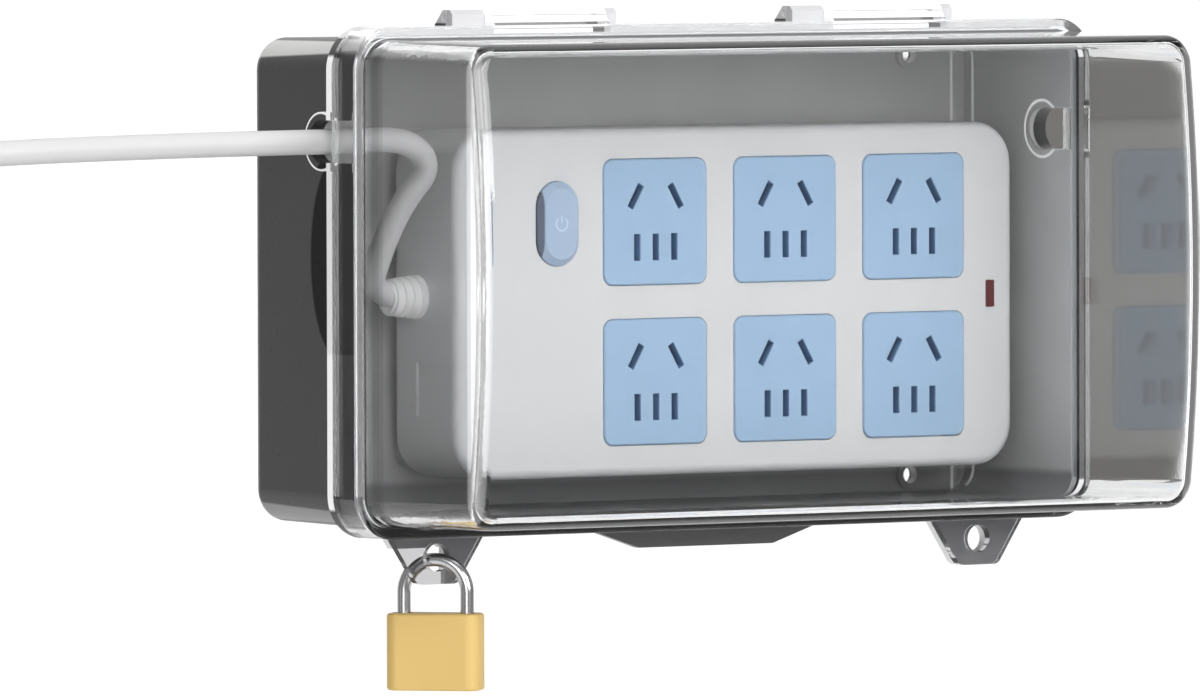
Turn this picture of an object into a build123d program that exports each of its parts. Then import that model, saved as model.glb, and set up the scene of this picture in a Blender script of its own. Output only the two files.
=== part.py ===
from build123d import *
import math
import os

# Weatherproof outlet box for a wall. Sizes are in millimetres.
# The origin is the middle of the wall screw pattern, on the wall. X is right, Z is up,
# and depth is the distance in front of the wall, so a depth of d lies at Y = -d.

# Outlet modules
MODULE_SIZE = 35.2
MODULE_CORNER = 3.0
MODULE_PITCH = 44.75
MODULE_PROUD = 0.5
MODULE_LENGTH = 15.7
MODULE_FLANGE = 1.4
MODULE_FLANGE_THICK = 2.0
MODULE_GAP = 0.2
MODULE_FACE = 2.6
SLOT_LENGTH = 7.5
SLOT_WIDTH = 2.2
PIN_SLANT_X = 6.86
PIN_SLANT_Z = 7.17
PIN_SLANT_ANGLE = 30.0
PIN_LEVEL_X = 6.35
PIN_LEVEL_Z = -7.1
POCKET_LENGTH = 9.5
POCKET_WIDTH = 4.5

# Outlet strip, as long as its three fields: the switch, the modules and the indicator
SWITCH_FIELD = 65.81
INDICATOR_FIELD = 35.29
STRIP_WIDTH = SWITCH_FIELD + 2 * MODULE_PITCH + INDICATOR_FIELD
STRIP_MARGIN = 8.675
STRIP_HEIGHT = MODULE_PITCH + MODULE_SIZE + 2 * STRIP_MARGIN
STRIP_CORNER = 12.0
STRIP_REAR = 5.8
STRIP_SHELL_DEPTH = 5.7
STRIP_SEAM = STRIP_REAR + STRIP_SHELL_DEPTH
STRIP_FRONT = 36.2
STRIP_WALL = 2.2
STRIP_FRONT_EDGE = 2.6
CASE_SCREW_RADIUS = 1.4
CASE_SCREW_HEAD = 2.4
CASE_POST_RADIUS = 3.2
CASE_POST_INSET = 6.6
HANG_SCREW_RADIUS = 1.75
HANG_SCREW_HEAD = 3.4
HANG_SLOT = 8.0
HANG_SPACING = 120.0
HANG_BOSS_RADIUS = 4.5
HANG_FIT = 0.25
SCREW_FIT = 0.03
RECESS_DROP = 16.3
RECESS_HEIGHT = 14.7
RECESS_DEEP = 0.8

# Rear tray, round the strip and the cord's space on its left and above it
CORD_SPACE_LEFT = 45.7
CORD_SPACE_ABOVE = 26.85
SPACE_RIGHT = 10.7
SPACE_BELOW = 11.85
TRAY_WIDTH = STRIP_WIDTH + CORD_SPACE_LEFT + SPACE_RIGHT
TRAY_HEIGHT = STRIP_HEIGHT + CORD_SPACE_ABOVE + SPACE_BELOW
TRAY_DEPTH = 52.5
TRAY_WALL = 2.6
TRAY_CORNER = 9.2
TRAY_DRAFT = 0.7
TRAY_BACK_EDGE = 3.5
LEDGE_BEHIND_RIM = 10.5
LEDGE_DEPTH = TRAY_DEPTH - LEDGE_BEHIND_RIM
LEDGE_THICKNESS = 2.6
LEDGE_CORNER = 12.0

# Wall fixing, a pattern of four screws
WALL_SCREW_INSET_X = 23.5
WALL_SCREW_INSET_Z = 8.0
WALL_SCREW_SPACING_X = TRAY_WIDTH - 2 * WALL_SCREW_INSET_X
WALL_SCREW_SPACING_Z = TRAY_HEIGHT - 2 * WALL_SCREW_INSET_Z
WALL_SCREW_HOLE = 2.4
WALL_SCREW_RING = 4.2

# Knock-outs in the floor wall of the tray
KNOCKOUT_RADIUS = 5.9
KNOCKOUT_DEEP = 0.8
KNOCKOUT_PITCH = 44.8

# Cable ports, one in each side wall
PORT_BEHIND_LEDGE = 2.7
PORT_BELOW_TOP = 28.9
PORT_DEPTH = LEDGE_DEPTH - PORT_BEHIND_LEDGE
PORT_Z = TRAY_HEIGHT / 2 - PORT_BELOW_TOP
PORT_RADIUS = 5.9
PORT_RIM = 2.3

# Clear cover
SKIRT_GAP = 0.2
SKIRT_CLEARANCE = 0.6
SKIRT_WALL = 2.2
SKIRT_LENGTH = 12.2
SEAL_WIDTH = 1.8
SEAL_HEIGHT = 2.5
SEAL_GROOVE = 1.4
COVER_WIDER = 0.4
COVER_LOWER = 1.6
COVER_WIDTH = TRAY_WIDTH + COVER_WIDER
COVER_HEIGHT = TRAY_HEIGHT - COVER_LOWER
COVER_WALL = 2.5
COVER_CORNER = 8.0
COVER_DRAFT = 0.75
COVER_EDGE_DEPTH = 108.7
COVER_CROWN = 5.3
COVER_FRONT_EDGE = 4.0

# Hinges
HINGE_INSET = 65.5
HINGE_X = TRAY_WIDTH / 2 - HINGE_INSET
HINGE_LENGTH = 55.6
HINGE_BEHIND_LEDGE = 1.5
HINGE_DEPTH = LEDGE_DEPTH - HINGE_BEHIND_LEDGE
HINGE_ABOVE_LEDGE = 2.0
HINGE_RADIUS = 2.2
HINGE_LEFT_KNUCKLE = 11.0
HINGE_RIGHT_KNUCKLE = 5.0
HINGE_REACH = 4.6
HINGE_GAP = 0.4
HINGE_PIN = 1.0
HINGE_PIN_FIT = 0.02
HINGE_RUN_FIT = 0.06

# Padlock lugs
LUG_INSET = 30.5
LUG_X = TRAY_WIDTH / 2 - LUG_INSET
LUG_TOP = 31.0
LUG_BOTTOM = 13.5
LUG_DROP = 13.2
LUG_HOLE = 3.9
LUG_HOLE_DROP = 5.8
LUG_THICKNESS = 2.4
LUG_RELIEF_LEFT = 14.0
LUG_RELIEF_RIGHT = 3.8
LUG_RELIEF_DROP = 3.1

# Finger lip below the ledge
LIP_TOP = 84.0
LIP_BOTTOM = 46.0
LIP_DROP = 5.2

# Contact bars, their rails' offsets from a row's middle and their depths
LIVE_SHIFT = 2.2
NEUTRAL_SHIFT = -1.7
EARTH_SHIFT = -14.0
BAR_THICK = 0.8
BAR_WIDTH = 3.0
LEAF_THICK = 0.5
LEAF_GAP = 1.6
LEAF_WIDTH = 7.0
LEAF_BEHIND_FRONT = 6.2
LAYER_PITCH = 2.6
EARTH_ABOVE_REAR = 5.2
LEAF_FRONT = STRIP_FRONT - LEAF_BEHIND_FRONT
EARTH_LAYER = STRIP_REAR + EARTH_ABOVE_REAR
LIVE_LAYER = EARTH_LAYER + LAYER_PITCH
NEUTRAL_LAYER = LIVE_LAYER + LAYER_PITCH

# Push button, its switch and its indicator
BUTTON_INSET = 32.3
BUTTON_WIDTH = 13.8
BUTTON_LENGTH = 23.5
BUTTON_PROUD = 2.6
BUTTON_BEVEL = 1.8
BUTTON_GAP = 0.2
BUTTON_TRAVEL = 2.2
BUTTON_FLANGE = 1.3
BUTTON_SINK = 10.2
SWITCH_FRONT = STRIP_FRONT - BUTTON_SINK
STEM_RADIUS = 1.6
STEM_INTO_SWITCH = 3.0
STEM_FIT = 0.15
SPRING_SEAT = 4.0
SPRING_SEAT_RADIUS = 4.0
SPRING_RADIUS = 2.7
SPRING_WIRE = 0.35
SPRING_TURNS = 4.5
SWITCH_WIDTH = 17.0
SWITCH_HEIGHT = 30.0
LAMP_INSET = 8.4
LAMP_WIDTH = 2.8
LAMP_HEIGHT = 7.6
LAMP_CORNER = 0.3
LAMP_FIT = 0.05
LAMP_FLANGE = 1.0

# Cord and its boot
CORD_DIAMETER = 7.0
BOOT_ABOVE_REAR = 11.0
BOOT_ABOVE_MIDDLE = 2.2
BOOT_DEPTH = STRIP_REAR + BOOT_ABOVE_REAR
BOOT_RADIUS = 6.1
BOOT_TIP_RADIUS = 5.2
BOOT_NECK_RADIUS = 4.6
BOOT_INSIDE = 9.8
BOOT_OUTSIDE = 10.2
BOOT_BORE_FIT = 0.06
BOOT_RIBS = 4
CLAMP_INSET = 15.6
CLAMP_THICK = 5.4
SADDLE_THICK = 6.0
CLAMP_HEIGHT = 17.0
CLAMP_ARCH = 2.0
CLAMP_SCREW_RADIUS = 1.2
CLAMP_SCREW_HEAD = 2.2
CLAMP_SCREW_STEP = 6.2
CORD_END_INSET = 20.5

# The lead's route from the boot, through the left port and on to the coil:
# X, depth and Z of the centre line, chosen by hand.
LEAD_ROUTE = [
    (-79.5, 16.8, -5.3),
    (-94.7, 16.8, -5.3),
    (-95.0, 24.5, 8.5),
    (-92.3, 31.0, 21.5),
    (-86.8, 37.8, 31.8),
    (-96.5, 39.4, 39.6),
    (-116.0, 39.3, 39.0),
    (-150.0, 39.5, 38.9),
    (-196.0, 39.3, 38.3),
    (-238.0, 39.0, 37.3),
    (-257.0, 28.6, 35.0),
    (-270.0, 28.6, 35.0),
]

# The put-away coil, in layers on the wall
COIL_LAYERS = 4
COIL_LAYER_PITCH = 7.6
COIL_OUTER = 41.6
COIL_RADIAL_PITCH = 8.7
COIL_TURNS = 7.25
TIE_THICK = 1.2
TIE_WIDTH = 7.0
TIE_CLEARANCE = 0.45

# Plug on the lead's end
PLUG_WIDTH = 30.0
PLUG_THICK = 24.0
PLUG_LENGTH = 26.0
PLUG_BOOT_LENGTH = 26.0
PLUG_BOOT_RADIUS = 6.4
PLUG_PIN_LENGTH = 17.0
PLUG_PIN_WIDTH = 6.3
PLUG_PIN_THICK = 1.6

# Padlock, hung through the left lug
LOCK_TURN = -48.0
WIRE_RADIUS = 1.9
LEG_SPACING = 18.0
ARCH_BELOW_HOLE = 0.6
ARCH_ABOVE_BODY = 14.8
LOCK_WIDTH = 26.5
LOCK_THICK = 12.0
LOCK_HEIGHT = 21.4
LOCK_CORNER = 3.6
SHORT_LEG_IN = 6.0
LONG_LEG_IN = 16.5
LEG_FIT = 0.08
KEY_PLUG_RADIUS = 4.6
KEY_PLUG_LENGTH = 13.0
LATCH_BACK = 3.6
LATCH_CLEAR = 0.25

# Places that follow from the sizes above
STRIP_X = (CORD_SPACE_LEFT - SPACE_RIGHT) / 2
STRIP_Z = (SPACE_BELOW - CORD_SPACE_ABOVE) / 2
STRIP_LEFT = STRIP_X - STRIP_WIDTH / 2
STRIP_RIGHT = STRIP_X + STRIP_WIDTH / 2
MODULE_COLUMN_X = STRIP_LEFT + SWITCH_FIELD + MODULE_PITCH
MODULE_BACK = STRIP_FRONT + MODULE_PROUD - MODULE_LENGTH
COLUMNS = [MODULE_COLUMN_X + step * MODULE_PITCH for step in (-1, 0, 1)]
ROWS = [STRIP_Z + step * MODULE_PITCH for step in (0.5, -0.5)]
BUTTON_X = STRIP_LEFT + BUTTON_INSET
BUTTON_Z = ROWS[0]
LAMP_X = STRIP_RIGHT - LAMP_INSET
BOOT_Z = STRIP_Z + BOOT_ABOVE_MIDDLE
CLAMP_X = STRIP_LEFT + CLAMP_INSET
CORD_END_X = STRIP_LEFT + CORD_END_INSET
LEDGE_FRONT = LEDGE_DEPTH + LEDGE_THICKNESS
SKIRT_REAR = LEDGE_FRONT + SKIRT_GAP
SKIRT_FRONT = SKIRT_REAR + SKIRT_LENGTH
SKIRT_INNER_WIDTH = TRAY_WIDTH + 2 * SKIRT_CLEARANCE
SKIRT_INNER_HEIGHT = TRAY_HEIGHT + 2 * SKIRT_CLEARANCE
SKIRT_OUTER_WIDTH = SKIRT_INNER_WIDTH + 2 * SKIRT_WALL
SKIRT_OUTER_HEIGHT = SKIRT_INNER_HEIGHT + 2 * SKIRT_WALL
WEB_REAR = TRAY_DEPTH + SEAL_HEIGHT - SEAL_GROOVE
LEDGE_TOP_Z = SKIRT_OUTER_HEIGHT / 2
HINGE_Z = LEDGE_TOP_Z + HINGE_ABOVE_LEDGE
HINGE_TOP_Z = HINGE_Z + HINGE_RADIUS
LUG_HOLE_Z = -LEDGE_TOP_Z - LUG_HOLE_DROP
PLATE_REAR = STRIP_FRONT - STRIP_WALL
CORD_RADIUS = CORD_DIAMETER / 2
SEAL_RING_WIDTH = TRAY_WIDTH - TRAY_WALL
SEAL_RING_HEIGHT = TRAY_HEIGHT - TRAY_WALL
CASE_POSTS = [(STRIP_X + side * (STRIP_WIDTH / 2 - CASE_POST_INSET),
               STRIP_Z + level * (STRIP_HEIGHT / 2 - CASE_POST_INSET))
              for side in (-1, 1) for level in (-1, 1)]
CASE_POSTS += [(MODULE_COLUMN_X + side * MODULE_PITCH / 2, STRIP_Z) for side in (-1, 1)]
HANG_POINTS = [(MODULE_COLUMN_X - MODULE_PITCH / 2 + side * HANG_SPACING / 2, STRIP_Z) for side in (-1, 1)]
COIL_INNER = COIL_OUTER - 1.5 * COIL_RADIAL_PITCH
COIL_X = LEAD_ROUTE[-1][0] - CORD_DIAMETER
COIL_Z = LEAD_ROUTE[-1][2] - COIL_OUTER
COIL_FRONT = LEAD_ROUTE[-1][1]


def facing(x, depth, z):
    """Plane that looks away from the wall, with its origin at the given place."""
    return Plane(origin=(x, -depth, z), x_dir=(1, 0, 0), z_dir=(0, -1, 0))


def slab(width, height, corner, near, far, x=0.0, z=0.0):
    """Rounded rectangle, from depth near to depth far."""
    outline = facing(x, near, z) * RectangleRounded(width, height, corner)
    return extrude(outline, far - near)


def drafted(first, last, near, far):
    """Loft from one rounded rectangle (width, height, corner) to another."""
    start = facing(0, near, 0) * RectangleRounded(*first)
    end = facing(0, far, 0) * RectangleRounded(*last)
    return loft([start.face(), end.face()])


def block(x_low, x_high, near, far, z_low, z_high):
    """Plain block between two values of X, depth and Z."""
    centre = ((x_low + x_high) / 2, -(near + far) / 2, (z_low + z_high) / 2)
    return Pos(*centre) * Box(x_high - x_low, far - near, z_high - z_low)


def rod(radius, near, far, x, z):
    """Cylinder that points away from the wall."""
    return extrude(facing(x, near, z) * Circle(radius), far - near)


def axle(radius, x_low, x_high, depth, z):
    """Cylinder along X."""
    plane = Plane(origin=(x_low, -depth, z), x_dir=(0, 1, 0), z_dir=(1, 0, 0))
    return extrude(plane * Circle(radius), x_high - x_low)


def side_profile(points, x_low, x_high):
    """Prism along X of an outline given as (depth, Z) points."""
    outline = Polyline(*[(x_low, -depth, z) for depth, z in points], close=True)
    return extrude(make_face(outline), amount=x_high - x_low, dir=(1, 0, 0))


def front_profile(points, near, far):
    """Prism away from the wall of an outline given as (X, Z) points."""
    outline = Polyline(*[(x, -near, z) for x, z in points], close=True)
    return extrude(make_face(outline), amount=far - near, dir=(0, -1, 0))


def obround(width, length, near, far, x, z):
    """Upright slot shape with fully round ends."""
    return slab(width, length, width / 2 - 0.01, near, far, x, z)


def as_one(shape):
    """The single solid of a shape that was built up from several."""
    return shape.solids()[0] if len(shape.solids()) == 1 else Compound(children=list(shape.solids()))


def lug(x, near, relieved=False):
    """Padlock lug: a tapering tab with a round hole and rounded lower corners."""
    top = -LEDGE_TOP_Z + TRAY_WALL
    low = -LEDGE_TOP_Z - LUG_DROP
    outline = [(x - LUG_TOP / 2 - 1, top), (x - LUG_TOP / 2, -LEDGE_TOP_Z), (x - LUG_BOTTOM / 2, low),
               (x + LUG_BOTTOM / 2, low), (x + LUG_TOP / 2, -LEDGE_TOP_Z), (x + LUG_TOP / 2 + 1, top)]
    tab = front_profile(outline, near, near + LUG_THICKNESS)
    corners = [edge for edge in tab.edges().filter_by(Axis.Y) if abs(edge.center().Z - low) < 0.01]
    tab = fillet(corners, 3.0)
    tab -= rod(LUG_HOLE, near - 1, near + LUG_THICKNESS + 1, x, LUG_HOLE_Z)
    if relieved:
        tab -= block(x - LUG_RELIEF_LEFT, x + LUG_RELIEF_RIGHT, near - 1, near + LUG_THICKNESS + 1,
                     low - 1, -LEDGE_TOP_Z - LUG_RELIEF_DROP)
    return tab


def hinge_spans(centre):
    """X limits of the left tray knuckle, the cover knuckle and the right tray knuckle."""
    left = centre - HINGE_LENGTH / 2
    right = centre + HINGE_LENGTH / 2
    return ((left, left + HINGE_LEFT_KNUCKLE),
            (left + HINGE_LEFT_KNUCKLE + HINGE_GAP, right - HINGE_RIGHT_KNUCKLE - HINGE_GAP),
            (right - HINGE_RIGHT_KNUCKLE, right))


def tray_knuckle(span):
    """Fixed knuckle: a block on the tray's top wall with a sloping back and a rounded front edge."""
    foot = TRAY_HEIGHT / 2 - TRAY_WALL / 2
    front = LEDGE_FRONT
    back = HINGE_DEPTH - HINGE_REACH
    profile = [(back, foot), (back, LEDGE_TOP_Z), (HINGE_DEPTH - 0.6, HINGE_TOP_Z),
               (front - 1.3, HINGE_TOP_Z), (front, HINGE_TOP_Z - 1.3), (front, foot)]
    return side_profile(profile, *span) - axle(HINGE_PIN + HINGE_PIN_FIT, span[0] - 1, span[1] + 1,
                                               HINGE_DEPTH, HINGE_Z)


def cover_knuckle(span):
    """Moving knuckle: a barrel on the hinge axis with an arm down on to the skirt."""
    barrel = axle(HINGE_RADIUS, *span, HINGE_DEPTH, HINGE_Z)
    inside = SKIRT_INNER_HEIGHT / 2 + SKIRT_WALL / 2
    profile = [(HINGE_DEPTH, HINGE_Z - HINGE_RADIUS), (HINGE_DEPTH, HINGE_TOP_Z),
               (SKIRT_REAR + 1.4, HINGE_TOP_Z), (SKIRT_REAR + 4.2, LEDGE_TOP_Z),
               (SKIRT_REAR + 4.2, inside), (SKIRT_REAR, inside), (SKIRT_REAR, HINGE_Z - HINGE_RADIUS)]
    arm = side_profile(profile, *span)
    return (barrel + arm) - axle(HINGE_PIN + HINGE_RUN_FIT, span[0] - 1, span[1] + 1, HINGE_DEPTH, HINGE_Z)


def port_boss(side):
    """Raised U-shaped rim of a cable port on the tray's side wall."""
    inner = TRAY_WIDTH / 2 - TRAY_WALL / 2
    outer = SKIRT_OUTER_WIDTH / 2
    low, high = sorted((side * inner, side * outer))
    rim = PORT_RADIUS + PORT_RIM
    boss = axle(rim, low, high, PORT_DEPTH, PORT_Z)
    boss += block(low, high, PORT_DEPTH, LEDGE_FRONT, PORT_Z - rim, PORT_Z + rim)
    return boss - block(low, high, LEDGE_FRONT, LEDGE_FRONT + rim, PORT_Z - rim - 1, PORT_Z + rim + 1)


def port_cut(side):
    """Opening of a cable port, which runs forward to the tray's rim."""
    low, high = sorted((side * (TRAY_WIDTH / 2 - 2 * TRAY_WALL), side * (SKIRT_OUTER_WIDTH / 2 + 1)))
    cut = axle(PORT_RADIUS, low, high, PORT_DEPTH, PORT_Z)
    return cut + block(low, high, PORT_DEPTH, TRAY_DEPTH + 1, PORT_Z - PORT_RADIUS, PORT_Z + PORT_RADIUS)


def rear_tray():
    back = (TRAY_WIDTH - 2 * TRAY_DRAFT, TRAY_HEIGHT - 2 * TRAY_DRAFT, TRAY_CORNER)
    rim = (TRAY_WIDTH, TRAY_HEIGHT, TRAY_CORNER)
    shell = drafted(back, rim, 0, TRAY_DEPTH)
    shell = fillet(shell.edges().group_by(Axis.Y)[-1], TRAY_BACK_EDGE)
    shell += slab(SKIRT_OUTER_WIDTH, SKIRT_OUTER_HEIGHT, LEDGE_CORNER, LEDGE_DEPTH, LEDGE_FRONT)
    for centre in (-HINGE_X, HINGE_X):
        left, middle, right = hinge_spans(centre)
        floor = TRAY_HEIGHT / 2 + SKIRT_CLEARANCE
        shell -= block(middle[0] - HINGE_GAP, middle[1] + HINGE_GAP, LEDGE_DEPTH - 1, LEDGE_FRONT + 1,
                       floor, LEDGE_TOP_Z + 1)
        shell += tray_knuckle(left)
        shell += tray_knuckle(right)
    shell += lug(-LUG_X, LEDGE_FRONT - LUG_THICKNESS, relieved=True)
    shell += lug(LUG_X, LEDGE_FRONT - LUG_THICKNESS)
    lip = [(-LIP_TOP / 2, -LEDGE_TOP_Z + 1), (-LIP_BOTTOM / 2, -LEDGE_TOP_Z - LIP_DROP),
           (LIP_BOTTOM / 2, -LEDGE_TOP_Z - LIP_DROP), (LIP_TOP / 2, -LEDGE_TOP_Z + 1)]
    shell += front_profile(lip, LEDGE_FRONT - LUG_THICKNESS, LEDGE_FRONT)
    for side in (-1, 1):
        shell += port_boss(side)
    narrow = 2 * TRAY_WALL
    hollow = drafted((back[0] - narrow, back[1] - narrow, TRAY_CORNER - TRAY_WALL),
                     (rim[0] - narrow, rim[1] - narrow, TRAY_CORNER - TRAY_WALL), TRAY_WALL, TRAY_DEPTH)
    shell -= hollow
    for side in (-1, 1):
        shell -= port_cut(side)
        for level in (-1, 1):
            x = side * WALL_SCREW_SPACING_X / 2
            z = level * WALL_SCREW_SPACING_Z / 2
            shell += rod(WALL_SCREW_RING, TRAY_WALL - 0.5, TRAY_WALL + 1.2, x, z)
            shell -= rod(WALL_SCREW_HOLE, -1, TRAY_WALL + 2, x, z)
    for x, z in HANG_POINTS:
        shell += rod(HANG_BOSS_RADIUS, TRAY_WALL - 0.5, STRIP_REAR, x, z)
        shell -= rod(HANG_SCREW_RADIUS + SCREW_FIT, 1.0, STRIP_REAR + 1, x, z)
    for x, z in CASE_POSTS[:4]:
        shell += rod(CASE_POST_RADIUS + 1, TRAY_WALL - 0.5, STRIP_REAR, x, z)
    wall_top = -TRAY_HEIGHT / 2 + TRAY_WALL
    for step in (-1.5, -0.5, 0.5, 1.5):
        centre = (step * KNOCKOUT_PITCH, -(TRAY_DEPTH - KNOCKOUT_RADIUS - 1.2), wall_top + 0.5)
        shell -= Pos(*centre) * Cylinder(KNOCKOUT_RADIUS, 2 * KNOCKOUT_DEEP + 1.0)
    return as_one(shell)


def cover_form(width, height, corner, near, edge_depth):
    """Drafted block whose front bows along its height."""
    reach = edge_depth + COVER_CROWN + 2
    first = (width, height, corner)
    last = (width - 2 * COVER_DRAFT, height - 2 * COVER_DRAFT, corner)
    form = drafted(first, last, near, reach)
    half = TRAY_HEIGHT / 2
    bow = (half * half + COVER_CROWN * COVER_CROWN) / (2 * COVER_CROWN)
    crown = axle(bow, -width, width, edge_depth + COVER_CROWN - bow, 0)
    return form & crown


def front_cover():
    front = COVER_EDGE_DEPTH
    body = cover_form(COVER_WIDTH, COVER_HEIGHT, COVER_CORNER, WEB_REAR, front)
    bow_edges = [edge for edge in body.edges() if edge.center().Y < -(front - 3)]
    body = fillet(bow_edges, COVER_FRONT_EDGE)
    skirt = slab(SKIRT_OUTER_WIDTH, SKIRT_OUTER_HEIGHT, LEDGE_CORNER, SKIRT_REAR, SKIRT_FRONT)
    front_edges = skirt.edges().group_by(Axis.Y)[0]
    skirt = fillet(front_edges, 1.0)
    skirt -= slab(SKIRT_INNER_WIDTH, SKIRT_INNER_HEIGHT, LEDGE_CORNER - SKIRT_WALL, SKIRT_REAR - 1, WEB_REAR)
    cover = body + skirt
    for centre in (-HINGE_X, HINGE_X):
        cover += cover_knuckle(hinge_spans(centre)[1])
    for x in (-LUG_X, LUG_X):
        cover += lug(x, SKIRT_REAR)
    cover -= slab(SKIRT_INNER_WIDTH, SKIRT_INNER_HEIGHT, LEDGE_CORNER - SKIRT_WALL, SKIRT_REAR - 1, WEB_REAR)
    narrow = 2 * COVER_WALL
    hollow = cover_form(COVER_WIDTH - narrow, COVER_HEIGHT - narrow, COVER_CORNER - COVER_WALL,
                        WEB_REAR - 1, front - COVER_WALL)
    inner_edges = [edge for edge in hollow.edges() if edge.center().Y < -(front - COVER_WALL - 3)]
    cover -= fillet(inner_edges, COVER_FRONT_EDGE - COVER_WALL)
    cover -= seal_ring(WEB_REAR - 1, WEB_REAR + SEAL_GROOVE, 0.1)
    rim = PORT_RADIUS + PORT_RIM
    for side in (-1, 1):
        low, high = sorted((side * (SKIRT_OUTER_WIDTH / 2 - 0.5), side * (SKIRT_OUTER_WIDTH / 2 + 0.6)))
        for step in (-1, 1):
            z_low, z_high = sorted((PORT_Z + step * PORT_RADIUS, PORT_Z + step * rim))
            cover += block(low, high, SKIRT_REAR, SKIRT_FRONT - 1.5, z_low, z_high)
    return as_one(cover)


def seal_ring(near, far, grow=0.0):
    """Ring over the middle of the tray's rim."""
    corner = TRAY_CORNER - TRAY_WALL / 2
    half = SEAL_WIDTH / 2 + grow
    ring = slab(SEAL_RING_WIDTH + 2 * half, SEAL_RING_HEIGHT + 2 * half, corner + half, near, far)
    return ring - slab(SEAL_RING_WIDTH - 2 * half, SEAL_RING_HEIGHT - 2 * half, corner - half,
                       near - 1, far + 1)


def seal_gasket():
    return as_one(seal_ring(TRAY_DEPTH, WEB_REAR + SEAL_GROOVE))


def hinge_pin(centre):
    return axle(HINGE_PIN, centre - HINGE_LENGTH / 2 + 0.4, centre + HINGE_LENGTH / 2 - 0.4,
                HINGE_DEPTH, HINGE_Z)


def slots(length, width, near, far, x, z):
    """The five pin openings of one outlet: a slanted pair above, three upright ones below."""
    cut = None
    places = [(-PIN_SLANT_X, PIN_SLANT_Z, -PIN_SLANT_ANGLE), (PIN_SLANT_X, PIN_SLANT_Z, PIN_SLANT_ANGLE),
              (-PIN_LEVEL_X, PIN_LEVEL_Z, 0), (0, PIN_LEVEL_Z, 0), (PIN_LEVEL_X, PIN_LEVEL_Z, 0)]
    for dx, dz, angle in places:
        shape = facing(x + dx, near, z + dz) * Rot(0, 0, angle) * Rectangle(width, length)
        solid = extrude(shape, far - near)
        cut = solid if cut is None else cut + solid
    return cut


def outlet_module(x, z):
    """Moulded outlet insert: face, flange behind the front plate and a pocket for each contact."""
    face = STRIP_FRONT + MODULE_PROUD
    body = slab(MODULE_SIZE, MODULE_SIZE, MODULE_CORNER, MODULE_BACK, face, x, z)
    body = chamfer(body.edges().group_by(Axis.Y)[0], 0.35)
    wide = MODULE_SIZE + 2 * MODULE_FLANGE
    body += slab(wide, wide, MODULE_CORNER, PLATE_REAR - MODULE_FLANGE_THICK, PLATE_REAR, x, z)
    body -= slots(SLOT_LENGTH, SLOT_WIDTH, MODULE_BACK, face + 1, x, z)
    body -= slots(POCKET_LENGTH, POCKET_WIDTH, MODULE_BACK - 1, face - MODULE_FACE, x, z)
    return as_one(body)


def leaf_pair(layer, x, z, angle):
    """Two spring leaves that grip one pin, on a foot at the bar's layer."""
    plane = facing(x, layer, z) * Rot(0, 0, angle)
    pair = extrude(plane * Rectangle(LEAF_GAP + 2 * LEAF_THICK, LEAF_WIDTH), BAR_THICK)
    for side in (-1, 1):
        offset = side * (LEAF_GAP + LEAF_THICK) / 2
        leaf = extrude(plane * Pos(offset, 0, 0) * Rectangle(LEAF_THICK, LEAF_WIDTH), LEAF_FRONT - layer)
        pair += leaf
    return pair


def contact_bar(layer, shift, places, link_x):
    """Bar along both rows, with a stub and a leaf pair for each pin place."""
    bar = None
    rails = []
    for row in ROWS:
        rail_z = row + shift
        rails.append(rail_z)
        span = block(link_x - BAR_WIDTH / 2, COLUMNS[-1] + PIN_SLANT_X + BAR_WIDTH / 2, layer,
                     layer + BAR_THICK, rail_z - BAR_WIDTH / 2, rail_z + BAR_WIDTH / 2)
        bar = span if bar is None else bar + span
        for column in COLUMNS:
            for dx, dz, angle in places:
                low, high = sorted((rail_z, row + dz))
                bar += block(column + dx - BAR_WIDTH / 2, column + dx + BAR_WIDTH / 2, layer,
                             layer + BAR_THICK, low, high)
                bar += leaf_pair(layer, column + dx, row + dz, angle)
    bar += block(link_x - BAR_WIDTH / 2, link_x + BAR_WIDTH / 2, layer, layer + BAR_THICK,
                 min(rails), max(rails))
    return bar


LINK_LEFT = COLUMNS[0] - MODULE_SIZE / 2 - 3.6
LIVE_PLACES = [(PIN_SLANT_X, PIN_SLANT_Z, PIN_SLANT_ANGLE), (PIN_LEVEL_X, PIN_LEVEL_Z, 0)]
NEUTRAL_PLACES = [(-PIN_SLANT_X, PIN_SLANT_Z, -PIN_SLANT_ANGLE), (-PIN_LEVEL_X, PIN_LEVEL_Z, 0)]
EARTH_PLACES = [(0, PIN_LEVEL_Z, 0)]


# Where the switched core meets the live bar's tab
TAB_X = LINK_LEFT - BAR_WIDTH / 2 - 1.2
TAB_Z = BUTTON_Z - 21.9


def live_bar():
    """Live contacts and rails, with a tab for the core that comes from the switch."""
    bar = contact_bar(LIVE_LAYER, LIVE_SHIFT, LIVE_PLACES, LINK_LEFT)
    bar += block(TAB_X - 1.0, LINK_LEFT, LIVE_LAYER, LIVE_LAYER + BAR_THICK, TAB_Z - 2.0, TAB_Z)
    return as_one(bar)


def neutral_bar():
    return as_one(contact_bar(NEUTRAL_LAYER, NEUTRAL_SHIFT, NEUTRAL_PLACES, LINK_LEFT))


def earth_bar():
    return as_one(contact_bar(EARTH_LAYER, EARTH_SHIFT, EARTH_PLACES, LINK_LEFT))


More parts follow.
